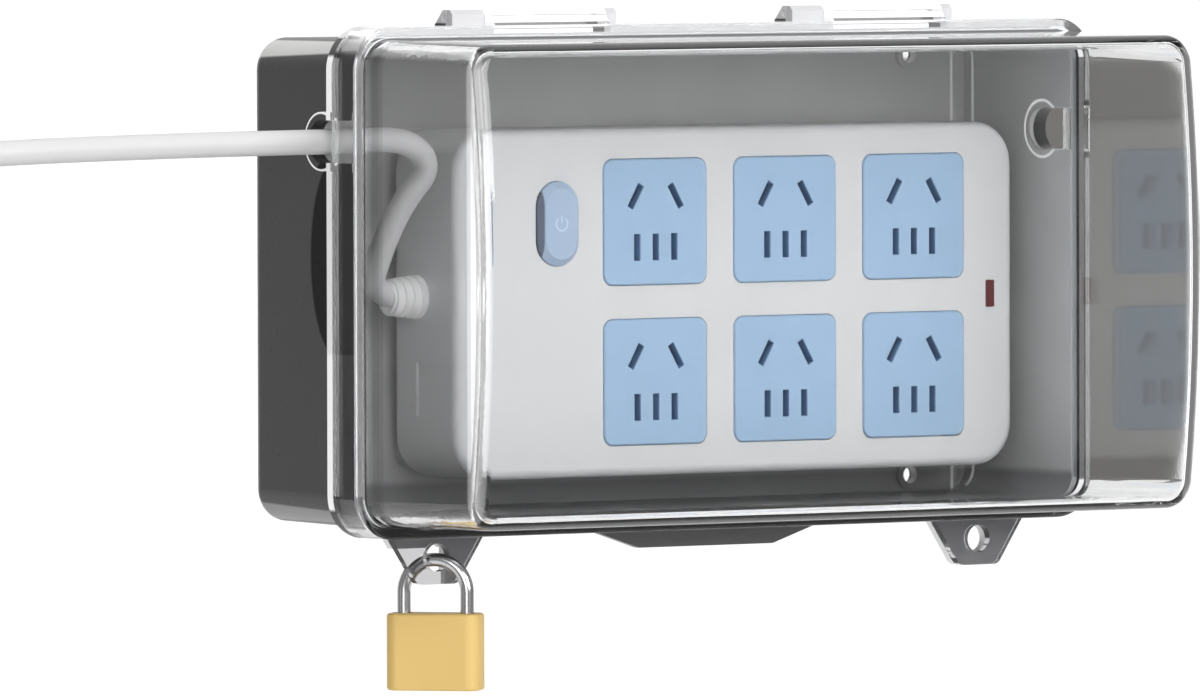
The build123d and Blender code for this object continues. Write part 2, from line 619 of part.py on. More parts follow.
def bar_supports():
    """Ribs on the rear shell's floor that carry the three bars at their layers."""
    floor = STRIP_REAR + STRIP_WALL - 0.5
    ribs = []
    for layer, shift, x in ((EARTH_LAYER, EARTH_SHIFT, COLUMNS[0] - 11.5),
                            (LIVE_LAYER, LIVE_SHIFT, COLUMNS[0] - 13.0),
                            (NEUTRAL_LAYER, NEUTRAL_SHIFT, COLUMNS[0] - 11.5)):
        for row in ROWS:
            for start in (x, x + 2 * MODULE_PITCH):
                ribs.append(block(start - 1.2, start + 1.2, floor, layer, row + shift - 1.4, row + shift + 1.4))
    return ribs


def strip_rear_shell():
    shell = slab(STRIP_WIDTH, STRIP_HEIGHT, STRIP_CORNER, STRIP_REAR, STRIP_SEAM, STRIP_X, STRIP_Z)
    shell = fillet(shell.edges().group_by(Axis.Y)[-1], 1.5)
    narrow = 2 * STRIP_WALL
    shell -= slab(STRIP_WIDTH - narrow, STRIP_HEIGHT - narrow, STRIP_CORNER - STRIP_WALL,
                  STRIP_REAR + STRIP_WALL, STRIP_SEAM + 1, STRIP_X, STRIP_Z)
    for x, z in CASE_POSTS:
        shell += rod(CASE_POST_RADIUS, STRIP_REAR + STRIP_WALL - 0.5, STRIP_SEAM, x, z)
        shell -= rod(CASE_SCREW_RADIUS + SCREW_FIT, STRIP_REAR - 1, STRIP_SEAM + 1, x, z)
        shell -= rod(CASE_SCREW_HEAD + 0.2, STRIP_REAR - 1, STRIP_REAR + 2.0, x, z)
    for rib in bar_supports():
        shell += rib
    for x, z in HANG_POINTS:
        floor_far = STRIP_REAR + STRIP_WALL + 1
        slot = HANG_SCREW_RADIUS + HANG_FIT
        shell -= rod(slot, STRIP_REAR - 1, floor_far, x, z)
        shell -= block(x - slot, x + slot, STRIP_REAR - 1, floor_far, z - HANG_SLOT, z)
        shell -= rod(HANG_SCREW_HEAD + HANG_FIT, STRIP_REAR - 1, floor_far, x, z - HANG_SLOT)
    saddle = block(CLAMP_X - SADDLE_THICK / 2, CLAMP_X + SADDLE_THICK / 2, STRIP_REAR + STRIP_WALL - 0.5,
                   BOOT_DEPTH - 0.5, BOOT_Z - CLAMP_HEIGHT / 2, BOOT_Z + CLAMP_HEIGHT / 2)
    shell += saddle - axle(CORD_RADIUS + BOOT_BORE_FIT, STRIP_LEFT, STRIP_LEFT + 30, BOOT_DEPTH, BOOT_Z)
    for step in (-1, 1):
        shell -= rod(CLAMP_SCREW_RADIUS + SCREW_FIT, STRIP_SEAM - 1.5, BOOT_DEPTH + 1, CLAMP_X,
                     BOOT_Z + step * CLAMP_SCREW_STEP)
    return as_one(shell)


def strip_front_shell():
    shell = slab(STRIP_WIDTH, STRIP_HEIGHT, STRIP_CORNER, STRIP_SEAM, STRIP_FRONT, STRIP_X, STRIP_Z)
    shell = fillet(shell.edges().group_by(Axis.Y)[0], STRIP_FRONT_EDGE)
    narrow = 2 * STRIP_WALL
    shell -= slab(STRIP_WIDTH - narrow, STRIP_HEIGHT - narrow, STRIP_CORNER - STRIP_WALL,
                  STRIP_SEAM - 1, PLATE_REAR, STRIP_X, STRIP_Z)
    for x, z in CASE_POSTS:
        post = rod(CASE_POST_RADIUS, STRIP_SEAM, PLATE_REAR + 0.5, x, z)
        shell += post - rod(CASE_SCREW_RADIUS + SCREW_FIT, STRIP_SEAM - 1, STRIP_SEAM + 9.0, x, z)
    opening = MODULE_SIZE + 2 * MODULE_GAP
    for x in COLUMNS:
        for z in ROWS:
            shell -= slab(opening, opening, MODULE_CORNER + MODULE_GAP, PLATE_REAR - 1, STRIP_FRONT + 1, x, z)
    shell -= obround(BUTTON_WIDTH + 2 * BUTTON_GAP, BUTTON_LENGTH + 2 * BUTTON_GAP, PLATE_REAR - 1,
                     STRIP_FRONT + 1, BUTTON_X, BUTTON_Z)
    shell -= slab(LAMP_WIDTH + 2 * LAMP_FIT, LAMP_HEIGHT + 2 * LAMP_FIT, LAMP_CORNER + LAMP_FIT,
                  PLATE_REAR - 1, STRIP_FRONT + 1, LAMP_X, STRIP_Z)
    shell -= axle(BOOT_NECK_RADIUS + 0.05, STRIP_LEFT - 1, STRIP_LEFT + STRIP_WALL + 1, BOOT_DEPTH, BOOT_Z)
    recess = block(STRIP_LEFT - 1, STRIP_LEFT + RECESS_DEEP, STRIP_SEAM + 5.0, STRIP_SEAM + 14.0,
                   STRIP_Z - RECESS_DROP - RECESS_HEIGHT, STRIP_Z - RECESS_DROP)
    shell -= recess
    return as_one(shell)


def strip_case_screws():
    """Six case screws, driven from behind."""
    screws = []
    for x, z in CASE_POSTS:
        screw = rod(CASE_SCREW_RADIUS, STRIP_REAR + 0.6, STRIP_SEAM + 8.0, x, z)
        head = rod(CASE_SCREW_HEAD, STRIP_REAR + 0.4, STRIP_REAR + 2.0, x, z)
        head -= block(x - 2.0, x + 2.0, STRIP_REAR, STRIP_REAR + 1.0, z - 0.3, z + 0.3)
        screws.append(screw + head)
    return Compound(children=[as_one(screw) for screw in screws])


def strip_mount_screws():
    """Two pan-head screws that hold the strip by its keyholes."""
    screws = []
    for x, z in HANG_POINTS:
        floor = STRIP_REAR + STRIP_WALL
        screw = rod(HANG_SCREW_RADIUS, 1.3, floor + 0.5, x, z) + rod(HANG_SCREW_HEAD, floor, floor + 2.0, x, z)
        screw -= block(x - 0.4, x + 0.4, floor + 1.2, floor + 3.0, z - 2.2, z + 2.2)
        screw -= block(x - 2.2, x + 2.2, floor + 1.2, floor + 3.0, z - 0.4, z + 0.4)
        screws.append(as_one(screw))
    return Compound(children=screws)


def switch_button():
    """Push button: bevelled obround cap, a retaining flange and a stem."""
    base = facing(BUTTON_X, STRIP_FRONT + BUTTON_PROUD - BUTTON_BEVEL, BUTTON_Z)
    outline = base * RectangleRounded(BUTTON_WIDTH, BUTTON_LENGTH, BUTTON_WIDTH / 2 - 0.01)
    tip = facing(BUTTON_X, STRIP_FRONT + BUTTON_PROUD, BUTTON_Z)
    small = BUTTON_WIDTH - 2 * BUTTON_BEVEL
    face = tip * RectangleRounded(small, BUTTON_LENGTH - 2 * BUTTON_BEVEL, small / 2 - 0.01)
    cap = loft([outline.face(), face.face()])
    flange_front = PLATE_REAR - 0.2
    cap += obround(BUTTON_WIDTH, BUTTON_LENGTH, flange_front - 1.0, STRIP_FRONT + BUTTON_PROUD - BUTTON_BEVEL,
                   BUTTON_X, BUTTON_Z)
    wide = 2 * BUTTON_FLANGE
    cap += obround(BUTTON_WIDTH + wide, BUTTON_LENGTH + wide, flange_front - 1.5, flange_front,
                   BUTTON_X, BUTTON_Z)
    cap += rod(STEM_RADIUS, SWITCH_FRONT - STEM_INTO_SWITCH, flange_front, BUTTON_X, BUTTON_Z)
    return as_one(cap)


def switch_body():
    """Switch under the button, on the rear shell's floor, with a bore for the stem and spring."""
    floor = STRIP_REAR + STRIP_WALL
    body = slab(SWITCH_WIDTH, SWITCH_HEIGHT, 1.0, floor, SWITCH_FRONT, BUTTON_X, BUTTON_Z)
    bore_end = SWITCH_FRONT - STEM_INTO_SWITCH - BUTTON_TRAVEL - 1.0
    body -= rod(STEM_RADIUS + STEM_FIT, bore_end, SWITCH_FRONT + 1, BUTTON_X, BUTTON_Z)
    body -= rod(SPRING_SEAT_RADIUS, SWITCH_FRONT - SPRING_SEAT, SWITCH_FRONT + 1, BUTTON_X, BUTTON_Z)
    for step in (-1, 1):
        x = BUTTON_X + step * (SWITCH_WIDTH / 2 + 1.0)
        body += block(x - 1.2, x + 1.2, floor + 3.0, floor + 3.8, BUTTON_Z - 12.0, BUTTON_Z - 8.0)
    return as_one(body)


def helix_tube(radius, wire, near, turns, pitch, x, z):
    """Coil spring along Y as a swept helix."""
    path = Helix(pitch=pitch, height=turns * pitch, radius=radius)
    section = Plane(origin=path @ 0, z_dir=path % 0) * Circle(wire)
    spring = sweep(section, path=path, is_frenet=True)
    return facing(x, near, z).location * spring


def switch_spring():
    """Return spring round the stem, at its pressed length."""
    near = SWITCH_FRONT - SPRING_SEAT + SPRING_WIRE + 0.1
    travel_end = PLATE_REAR - 1.7 - BUTTON_TRAVEL
    pitch = (travel_end - near - SPRING_WIRE - 0.1) / SPRING_TURNS
    return as_one(helix_tube(SPRING_RADIUS, SPRING_WIRE, near, SPRING_TURNS, pitch, BUTTON_X, BUTTON_Z))


def indicator_lens():
    lens = slab(LAMP_WIDTH, LAMP_HEIGHT, LAMP_CORNER, PLATE_REAR - 0.5, STRIP_FRONT + 0.3, LAMP_X, STRIP_Z)
    wide = 2 * LAMP_FLANGE
    lens += slab(LAMP_WIDTH + wide, LAMP_HEIGHT + wide, LAMP_CORNER + LAMP_FLANGE, PLATE_REAR - 1.2, PLATE_REAR,
                 LAMP_X, STRIP_Z)
    return as_one(lens)


def indicator_lamp():
    """Small neon lamp behind the lens, on two posts from the rear shell."""
    front = PLATE_REAR - 1.3
    lamp = rod(1.3, front - 9.0, front, LAMP_X, STRIP_Z)
    for step in (-1, 1):
        lamp += rod(0.4, STRIP_REAR + STRIP_WALL, front - 8.5, LAMP_X, STRIP_Z + step * 0.8)
    return as_one(lamp)


def cord_boot():
    """Ribbed strain relief held in the strip's left wall by a neck between two collars."""
    wall_out = STRIP_LEFT
    wall_in = STRIP_LEFT + STRIP_WALL
    boot = axle(BOOT_RADIUS, wall_in, wall_out + BOOT_INSIDE, BOOT_DEPTH, BOOT_Z)
    boot += axle(BOOT_NECK_RADIUS, wall_out - 1, wall_in + 1, BOOT_DEPTH, BOOT_Z)
    step = BOOT_OUTSIDE / BOOT_RIBS
    for rib in range(BOOT_RIBS):
        root = wall_out - rib * step
        shrink = (BOOT_RADIUS - BOOT_TIP_RADIUS) * rib / (BOOT_RIBS - 1)
        boot += axle(BOOT_RADIUS - shrink, root - 0.68 * step, root, BOOT_DEPTH, BOOT_Z)
        boot += axle(BOOT_RADIUS - shrink - 0.8, root - step, root, BOOT_DEPTH, BOOT_Z)
    bore = CORD_RADIUS + BOOT_BORE_FIT
    boot -= axle(bore, wall_out - BOOT_OUTSIDE - 1, wall_in + BOOT_INSIDE + 1, BOOT_DEPTH, BOOT_Z)
    return as_one(boot)


def cord_clamp():
    """Bridge that presses the cord on to its saddle."""
    clamp = block(CLAMP_X - CLAMP_THICK / 2, CLAMP_X + CLAMP_THICK / 2, BOOT_DEPTH - 0.5,
                  BOOT_DEPTH + CORD_RADIUS + CLAMP_ARCH, BOOT_Z - CLAMP_HEIGHT / 2, BOOT_Z + CLAMP_HEIGHT / 2)
    clamp -= axle(CORD_RADIUS + BOOT_BORE_FIT, STRIP_LEFT, STRIP_LEFT + 30, BOOT_DEPTH, BOOT_Z)
    for step in (-1, 1):
        clamp -= rod(CLAMP_SCREW_RADIUS + SCREW_FIT, BOOT_DEPTH - 1, BOOT_DEPTH + 9, CLAMP_X,
                     BOOT_Z + step * CLAMP_SCREW_STEP)
    return as_one(clamp)


def clamp_screws():
    screws = []
    top = BOOT_DEPTH + CORD_RADIUS + CLAMP_ARCH
    x = CLAMP_X
    for step in (-1, 1):
        z = BOOT_Z + step * CLAMP_SCREW_STEP
        screw = rod(CLAMP_SCREW_RADIUS, STRIP_SEAM - 1.0, top + 0.3, x, z)
        screw += rod(CLAMP_SCREW_HEAD, top, top + 1.6, x, z)
        screw -= block(x - 0.3, x + 0.3, top + 0.9, top + 2, z - 1.6, z + 1.6)
        screws.append(as_one(screw))
    return Compound(children=screws)


def route_points(route):
    """Centre-line points of a route given as X, depth and Z."""
    return [Vector(x, -depth, z) for x, depth, z in route]


def bend_radii(points):
    """Radius of each bend: 0.45 of the shorter run over the tangent of half the turn."""
    radii = []
    for before, here, after in zip(points, points[1:], points[2:]):
        run_in = here - before
        run_out = after - here
        half_turn = math.radians(run_in.get_angle(run_out)) / 2
        radii.append(0.45 * min(run_in.length, run_out.length) / math.tan(half_turn))
    return radii


def tube(path, radius):
    """Round tube along a path."""
    section = Plane(origin=path @ 0, z_dir=path % 0) * Circle(radius)
    return sweep(section, path=path)


def routed_tube(route, radius, name):
    """Tube of straight runs joined by tangent arcs; prints its bends and its volume."""
    points = route_points(route)
    radii = bend_radii(points)
    path = FilletPolyline(*points, radius=radii)
    solid = as_one(tube(path, radius))
    expected = math.pi * radius * radius * path.length
    print(name, "length", round(path.length, 1), "bends", [round(value, 1) for value in radii],
          "volume ratio", round(solid.volume / expected, 4))
    return solid


def cord_lead():
    return routed_tube(LEAD_ROUTE, CORD_RADIUS, "cord_lead")


def coil_state(turn):
    """Radius and depth of the coil's centre line after a number of turns from its start.

    Each layer takes two turns: one and a half spiral in or out at a steady rate, and the last half
    turn climbs to the next layer at a steady radius."""
    layer = min(int(turn / 2), COIL_LAYERS - 1)
    within = turn - 2 * layer
    swept = min(within, 1.5) * COIL_RADIAL_PITCH
    radius = COIL_OUTER - swept if layer % 2 == 0 else COIL_INNER + swept
    climb = max(0.0, within - 1.5) * 2
    eased = (1 - math.cos(math.pi * climb)) / 2
    return radius, COIL_FRONT - COIL_LAYER_PITCH * (layer + eased)


def coil_point(turn):
    """Centre-line point: it starts at the top and goes left, down, right and up again."""
    radius, depth = coil_state(turn)
    angle = math.pi / 2 + 2 * math.pi * turn
    return Vector(COIL_X + radius * math.cos(angle), -depth, COIL_Z + radius * math.sin(angle))


def coil_heading(turn):
    """Direction of the coil's centre line."""
    step = 0.0005
    low = max(0.0, turn - step)
    high = min(COIL_TURNS, turn + step)
    return (coil_point(high) - coil_point(low)).normalized()


def biarc(start, heading_in, end, heading_out):
    """Two arcs that join two points with the given headings and share a tangent where they meet."""
    chord = end - start
    total = heading_in + heading_out
    share = 2 * (1 - heading_in.dot(heading_out))
    reach = (-chord.dot(total) + math.sqrt(chord.dot(total) ** 2 + share * chord.dot(chord))) / share
    first = start + heading_in * reach
    second = end - heading_out * reach
    middle = (first + second) * 0.5
    return [TangentArc(start, middle, tangent=heading_in),
            TangentArc(middle, end, tangent=second - first)]


def coil_headings():
    """Points and headings a quarter turn apart; the first and last headings lie square to the ends."""
    count = round(COIL_TURNS * 4)
    turns = [COIL_TURNS * index / count for index in range(count + 1)]
    points = [coil_point(turn) for turn in turns]
    headings = [coil_heading(turn) for turn in turns]
    headings[0] = Vector(-1, 0, 0)
    headings[-1] = Vector(0, 0, -1)
    return points, headings


def coil_gap():
    """Least clear distance between two stretches of the coil, measured on points."""
    steps = 90
    count = int(COIL_TURNS * steps)
    points = [coil_point(index / steps) for index in range(count + 1)]
    least = 1000.0
    for index, point in enumerate(points):
        for other in points[index + steps // 2:]:
            least = min(least, (point - other).length)
    return least - CORD_DIAMETER


def cord_coil():
    """The put-away loops, one unbroken tube of biarcs with a straight end on each side."""
    points, headings = coil_headings()
    edges = [Line(points[0] - headings[0] * CORD_DIAMETER, points[0])]
    for index in range(len(points) - 1):
        edges += biarc(points[index], headings[index], points[index + 1], headings[index + 1])
    edges.append(Line(points[-1], points[-1] + headings[-1] * CORD_DIAMETER))
    path = Wire(edges)
    solid = as_one(tube(path, CORD_RADIUS))
    expected = math.pi * CORD_RADIUS ** 2 * path.length
    print("cord_coil length", round(path.length, 1), "least gap", round(coil_gap(), 2),
          "volume ratio", round(solid.volume / expected, 4))
    return solid


COIL_END = coil_point(COIL_TURNS)
TAIL_START_Z = COIL_END.Z - CORD_DIAMETER
PLUG_DEPTH = PLUG_THICK / 2 + 0.4
PLUG_BOOT_TOP = TAIL_START_Z - 40.0
PLUG_TOP = PLUG_BOOT_TOP - PLUG_BOOT_LENGTH
TAIL_ROUTE = [
    (COIL_END.X, -COIL_END.Y, TAIL_START_Z),
    (COIL_END.X, -COIL_END.Y, TAIL_START_Z - 12.0),
    (COIL_END.X, PLUG_DEPTH, TAIL_START_Z - 30.0),
    (COIL_END.X, PLUG_DEPTH, TAIL_START_Z - 42.0),
]


def cord_tail():
    return routed_tube(TAIL_ROUTE, CORD_RADIUS, "cord_tail")


def coil_tie():
    """Closed band round all the loops at the coil's lowest point."""
    inner_z = COIL_Z - COIL_INNER + CORD_RADIUS + TIE_CLEARANCE
    outer_z = COIL_Z - COIL_OUTER - CORD_RADIUS - TIE_CLEARANCE
    back = COIL_FRONT - COIL_LAYER_PITCH * (COIL_LAYERS - 1) - CORD_RADIUS - TIE_CLEARANCE
    front = COIL_FRONT + CORD_RADIUS + TIE_CLEARANCE
    middle = (COIL_X, -(back + front) / 2, (inner_z + outer_z) / 2)
    plane = Plane(origin=(COIL_X - TIE_WIDTH / 2, middle[1], middle[2]), x_dir=(0, 1, 0), z_dir=(1, 0, 0))
    tall = inner_z - outer_z
    deep = front - back
    band = plane * RectangleRounded(deep + 2 * TIE_THICK, tall + 2 * TIE_THICK, CORD_RADIUS + TIE_THICK)
    hole = plane * RectangleRounded(deep, tall, CORD_RADIUS)
    return as_one(extrude(band - hole, TIE_WIDTH))


def plug_level(width, thick, corner, z):
    """Face of the plug's outline at one height."""
    plane = Plane(origin=(COIL_END.X, -PLUG_DEPTH, z), x_dir=(1, 0, 0), z_dir=(0, 0, -1))
    return (plane * RectangleRounded(width, thick, corner)).face()


def plug_body():
    """Plug body: a shouldered grip that widens to the pin face."""
    shoulder = PLUG_TOP - PLUG_LENGTH * 0.45
    low = PLUG_TOP - PLUG_LENGTH
    grip = loft([plug_level(PLUG_WIDTH * 0.55, PLUG_THICK * 0.62, 6.0, PLUG_TOP),
                 plug_level(PLUG_WIDTH * 0.86, PLUG_THICK * 0.9, 7.0, shoulder)])
    face = loft([plug_level(PLUG_WIDTH * 0.86, PLUG_THICK * 0.9, 7.0, shoulder),
                 plug_level(PLUG_WIDTH, PLUG_THICK, 7.0, low)])
    body = grip + face
    return as_one(body - plug_pin_set(low - 1, low + 9.0, 0.0))


def plug_pin_set(z_low, z_high, grow):
    """Three flat pins: a slanted pair and an upright one."""
    pins = None
    for dx, dy, angle in ((-PIN_SLANT_X, -3.0, 60.0), (PIN_SLANT_X, -3.0, -60.0), (0, 5.2, 90.0)):
        plane = Plane(origin=(COIL_END.X + dx, -PLUG_DEPTH + dy, z_low), z_dir=(0, 0, 1))
        pin = extrude(plane * Rot(0, 0, angle) * Rectangle(PLUG_PIN_WIDTH + grow, PLUG_PIN_THICK + grow),
                      z_high - z_low)
        pins = pin if pins is None else pins + pin
    return pins


def plug_pins():
    low = PLUG_TOP - PLUG_LENGTH
    return Compound(children=list(plug_pin_set(low - PLUG_PIN_LENGTH, low + 9.0, 0.0).solids()))


def plug_boot():
    """Ribbed, tapered strain relief on the plug."""
    boot = None
    ribs = 6
    step = PLUG_BOOT_LENGTH / ribs
    for rib in range(ribs):
        low = PLUG_TOP + rib * step
        radius = PLUG_BOOT_RADIUS - (PLUG_BOOT_RADIUS - 4.9) * rib / (ribs - 1)
        thick = Pos(COIL_END.X, -PLUG_DEPTH, low + 0.35 * step) * Cylinder(radius, 0.7 * step)
        thin = Pos(COIL_END.X, -PLUG_DEPTH, low + 0.5 * step) * Cylinder(radius - 0.7, step)
        boot = thick + thin if boot is None else boot + thick + thin
    bore_low = TAIL_START_Z - 42.0
    bore = Pos(COIL_END.X, -PLUG_DEPTH, bore_low + 10) * Cylinder(CORD_RADIUS + BOOT_BORE_FIT, 20)
    return as_one(boot - bore)


def cord_inner_end():
    """The lead's inner end, through the boot and the clamp into the strip."""
    start = LEAD_ROUTE[0][0]
    return axle(CORD_RADIUS, start, CORD_END_X, BOOT_DEPTH, BOOT_Z)


WIRE = 1.0
WIRE_START_X = CORD_END_X


def wire(points, name):
    return routed_tube(points, WIRE, name)


def wire_live():
    """Brown core from the cord to the switch's lower terminal."""
    side = BUTTON_X - SWITCH_WIDTH / 2 - 1.0
    level = STRIP_REAR + STRIP_WALL + 3.4
    return wire([(WIRE_START_X, BOOT_DEPTH, BOOT_Z + 2.0), (side - 1.0, BOOT_DEPTH, BOOT_Z + 2.0),
                 (side, level, BOOT_Z + 5.4), (side, level, BUTTON_Z - 12.0)], "wire_live")


def wire_switched():
    """Core from the switch's right terminal down to the live bar's tab."""
    level = STRIP_REAR + STRIP_WALL + 3.4
    front = LIVE_LAYER + BAR_THICK / 2
    return wire([(TAB_X, level, BUTTON_Z - 12.0), (TAB_X, level, BUTTON_Z - 15.4),
                 (TAB_X, front, BUTTON_Z - 18.5), (TAB_X, front, TAB_Z)], "wire_switched")


def wire_neutral():
    """Core from the cord to the neutral bar's link."""
    end = LINK_LEFT - BAR_WIDTH / 2
    return wire([(WIRE_START_X, BOOT_DEPTH + 1.2, BOOT_Z - 1.4),
                 (WIRE_START_X + 8.0, BOOT_DEPTH + 1.2, BOOT_Z - 1.4),
                 (end - 12.0, NEUTRAL_LAYER + 0.4, STRIP_Z - 4.2),
                 (end, NEUTRAL_LAYER + 0.4, STRIP_Z - 4.0)], "wire_neutral")


def wire_earth():
    """Core from the cord to the earth bar's link."""
    end = LINK_LEFT - BAR_WIDTH / 2
    return wire([(WIRE_START_X, BOOT_DEPTH - 1.8, BOOT_Z - 1.0),
                 (WIRE_START_X + 6.0, BOOT_DEPTH - 1.8, BOOT_Z - 1.0),
                 (end - 14.0, EARTH_LAYER + 0.4, STRIP_Z - 14.0),
                 (end, EARTH_LAYER + 0.4, STRIP_Z - 14.2)], "wire_earth")


def hang(shape):
    """Turn a padlock piece, drawn with its arch top at the origin, and hang it in the left lug."""
    middle = SKIRT_REAR + LUG_THICKNESS / 2
    return Pos(-LUG_X, -middle, LUG_HOLE_Z - ARCH_BELOW_HOLE) * Rot(0, 0, LOCK_TURN) * shape


def padlock_shackle():
    """Steel bow: a short leg in front of the lug and a long leg behind it."""
    half = LEG_SPACING / 2
    short_end = -ARCH_ABOVE_BODY - SHORT_LEG_IN
    long_end = -ARCH_ABOVE_BODY - LONG_LEG_IN
    right = Line((half, 0, short_end), (half, 0, -half))
    bow = ThreePointArc((half, 0, -half), (0, 0, 0), (-half, 0, -half))
    left = Line((-half, 0, -half), (-half, 0, long_end))
    shackle = tube(Wire([right, bow, left]), WIRE_RADIUS)
    notch = Pos(half - WIRE_RADIUS, 0, short_end + 2.6) * Box(1.2, 6, 1.8)
    return hang(as_one(shackle - notch))


def lock_outline():
    """Plan of the padlock body, with rounded upright sides."""
    return RectangleRounded(LOCK_WIDTH, LOCK_THICK, LOCK_CORNER)


def padlock_body():
    top = -ARCH_ABOVE_BODY
    low = top - LOCK_HEIGHT
    body = extrude(Pos(0, 0, low) * lock_outline(), LOCK_HEIGHT)
    body = fillet(body.edges().group_by(Axis.Z)[0] + body.edges().group_by(Axis.Z)[-1], 0.9)
    half = LEG_SPACING / 2
    bore = WIRE_RADIUS + LEG_FIT
    for x, deep in ((half, SHORT_LEG_IN), (-half, LONG_LEG_IN)):
        body -= Pos(x, 0, top - deep / 2) * Cylinder(bore, deep + 0.4)
        body -= Pos(x, 0, top) * Cylinder(bore + 0.5, 1.0)
    body -= Pos(0, 0, low + KEY_PLUG_LENGTH / 2) * Cylinder(KEY_PLUG_RADIUS + LEG_FIT, KEY_PLUG_LENGTH + 0.2)
    level = top - SHORT_LEG_IN + 2.6
    body -= Pos((half - LATCH_BACK) / 2, 0, level) * Box(half + LATCH_BACK, 3.0, 2.2)
    return hang(as_one(body))


def padlock_latch():
    """Locking bolt, shown drawn back clear of the short leg's notch."""
    half = LEG_SPACING / 2
    level = -ARCH_ABOVE_BODY - SHORT_LEG_IN + 2.6
    reach = half - WIRE_RADIUS - LATCH_CLEAR
    start = -LATCH_BACK + LATCH_CLEAR
    latch = Pos((start + reach) / 2, 0, level - 0.05) * Box(reach - start, 2.8, 2.1)
    return hang(as_one(latch))


def padlock_cylinder():
    """Key plug in the body's foot, with its keyway."""
    low = -ARCH_ABOVE_BODY - LOCK_HEIGHT
    plug = Pos(0, 0, low + KEY_PLUG_LENGTH / 2) * Cylinder(KEY_PLUG_RADIUS, KEY_PLUG_LENGTH)
    plug -= Pos(0, 0, low + 4.0) * Box(5.6, 1.1, 10.0)
    plug -= Pos(-1.6, 0.6, low + 4.0) * Box(1.2, 1.6, 10.0)
    return hang(as_one(plug))


def parts():
    """Every node by name."""
    nodes = {
        "rear_tray": rear_tray(),
        "front_cover": front_cover(),
        "seal_gasket": seal_gasket(),
        "hinge_pin_left": hinge_pin(-HINGE_X),
        "hinge_pin_right": hinge_pin(HINGE_X),
        "strip_rear_shell": strip_rear_shell(),
        "strip_front_shell": strip_front_shell(),
        "strip_case_screws": strip_case_screws(),
        "strip_mount_screws": strip_mount_screws(),
        "live_bar": live_bar(),
        "neutral_bar": neutral_bar(),
        "earth_bar": earth_bar(),
        "switch_button": switch_button(),
        "switch_body": switch_body(),
        "switch_spring": switch_spring(),
        "indicator_lens": indicator_lens(),
        "indicator_lamp": indicator_lamp(),
        "cord_boot": cord_boot(),
        "cord_clamp": cord_clamp(),
        "clamp_screws": clamp_screws(),
        "cord_inner_end": cord_inner_end(),
        "wire_live": wire_live(),
        "wire_switched": wire_switched(),
        "wire_neutral": wire_neutral(),
        "wire_earth": wire_earth(),
        "cord_lead": cord_lead(),
        "cord_coil": cord_coil(),
        "cord_tail": cord_tail(),
        "coil_tie": coil_tie(),
        "plug_body": plug_body(),
        "plug_boot": plug_boot(),
        "plug_pins": plug_pins(),
        "padlock_shackle": padlock_shackle(),
        "padlock_body": padlock_body(),
        "padlock_latch": padlock_latch(),
        "padlock_cylinder": padlock_cylinder(),
    }
    number = 0
    for z in ROWS:
        for x in COLUMNS:
            number += 1
            nodes["outlet_module_" + str(number)] = outlet_module(x, z)
    return nodes


def main():
    os.makedirs("parts", exist_ok=True)
    for name, shape in parts().items():
        export_step(shape, "parts/" + name + ".step")


if __name__ == "__main__":
    main()
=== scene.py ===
"""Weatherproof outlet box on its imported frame: finishes, cord, fine pieces, light and camera."""

import logging
import math
from dataclasses import dataclass, field
from enum import Enum

import bpy
from mathutils import Matrix, Vector


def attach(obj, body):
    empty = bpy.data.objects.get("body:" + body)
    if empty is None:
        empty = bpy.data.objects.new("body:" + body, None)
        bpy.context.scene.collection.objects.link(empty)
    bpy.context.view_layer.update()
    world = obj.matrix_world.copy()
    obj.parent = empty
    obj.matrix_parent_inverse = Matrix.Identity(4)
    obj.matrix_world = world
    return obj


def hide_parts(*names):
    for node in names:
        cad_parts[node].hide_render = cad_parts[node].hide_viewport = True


LOG = logging.getLogger("outlet_box")

Colour = tuple[float, float, float]
Point = tuple[float, float, float]
Painted = tuple[object, object, object, object]
MM = 0.001

# Widths of a mask's soft edge in metres, from crisp to hazy.
CRISP = 0.0003
SOFT = 0.0004
EASED = 0.0006
BROAD = 0.001
HAZY = 0.0012
FADED = 0.0015

COAT_IOR = 2.0
COAT_ROUGHNESS = 0.08

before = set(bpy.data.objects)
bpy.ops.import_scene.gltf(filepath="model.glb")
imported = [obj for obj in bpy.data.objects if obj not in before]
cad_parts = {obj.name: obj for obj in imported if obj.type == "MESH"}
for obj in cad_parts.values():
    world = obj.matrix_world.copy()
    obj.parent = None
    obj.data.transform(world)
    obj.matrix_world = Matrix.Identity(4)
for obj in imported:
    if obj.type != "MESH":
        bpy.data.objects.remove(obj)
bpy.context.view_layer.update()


class Body(str, Enum):
    """CAD bodies that the pieces ride on."""

    TRAY = "tray"
    BUTTON = "button"


class Kind(Enum):
    """How a finish's surface is broken up."""

    MOULDED = "moulded_texture"
    BRUSHED = "brushed_texture"


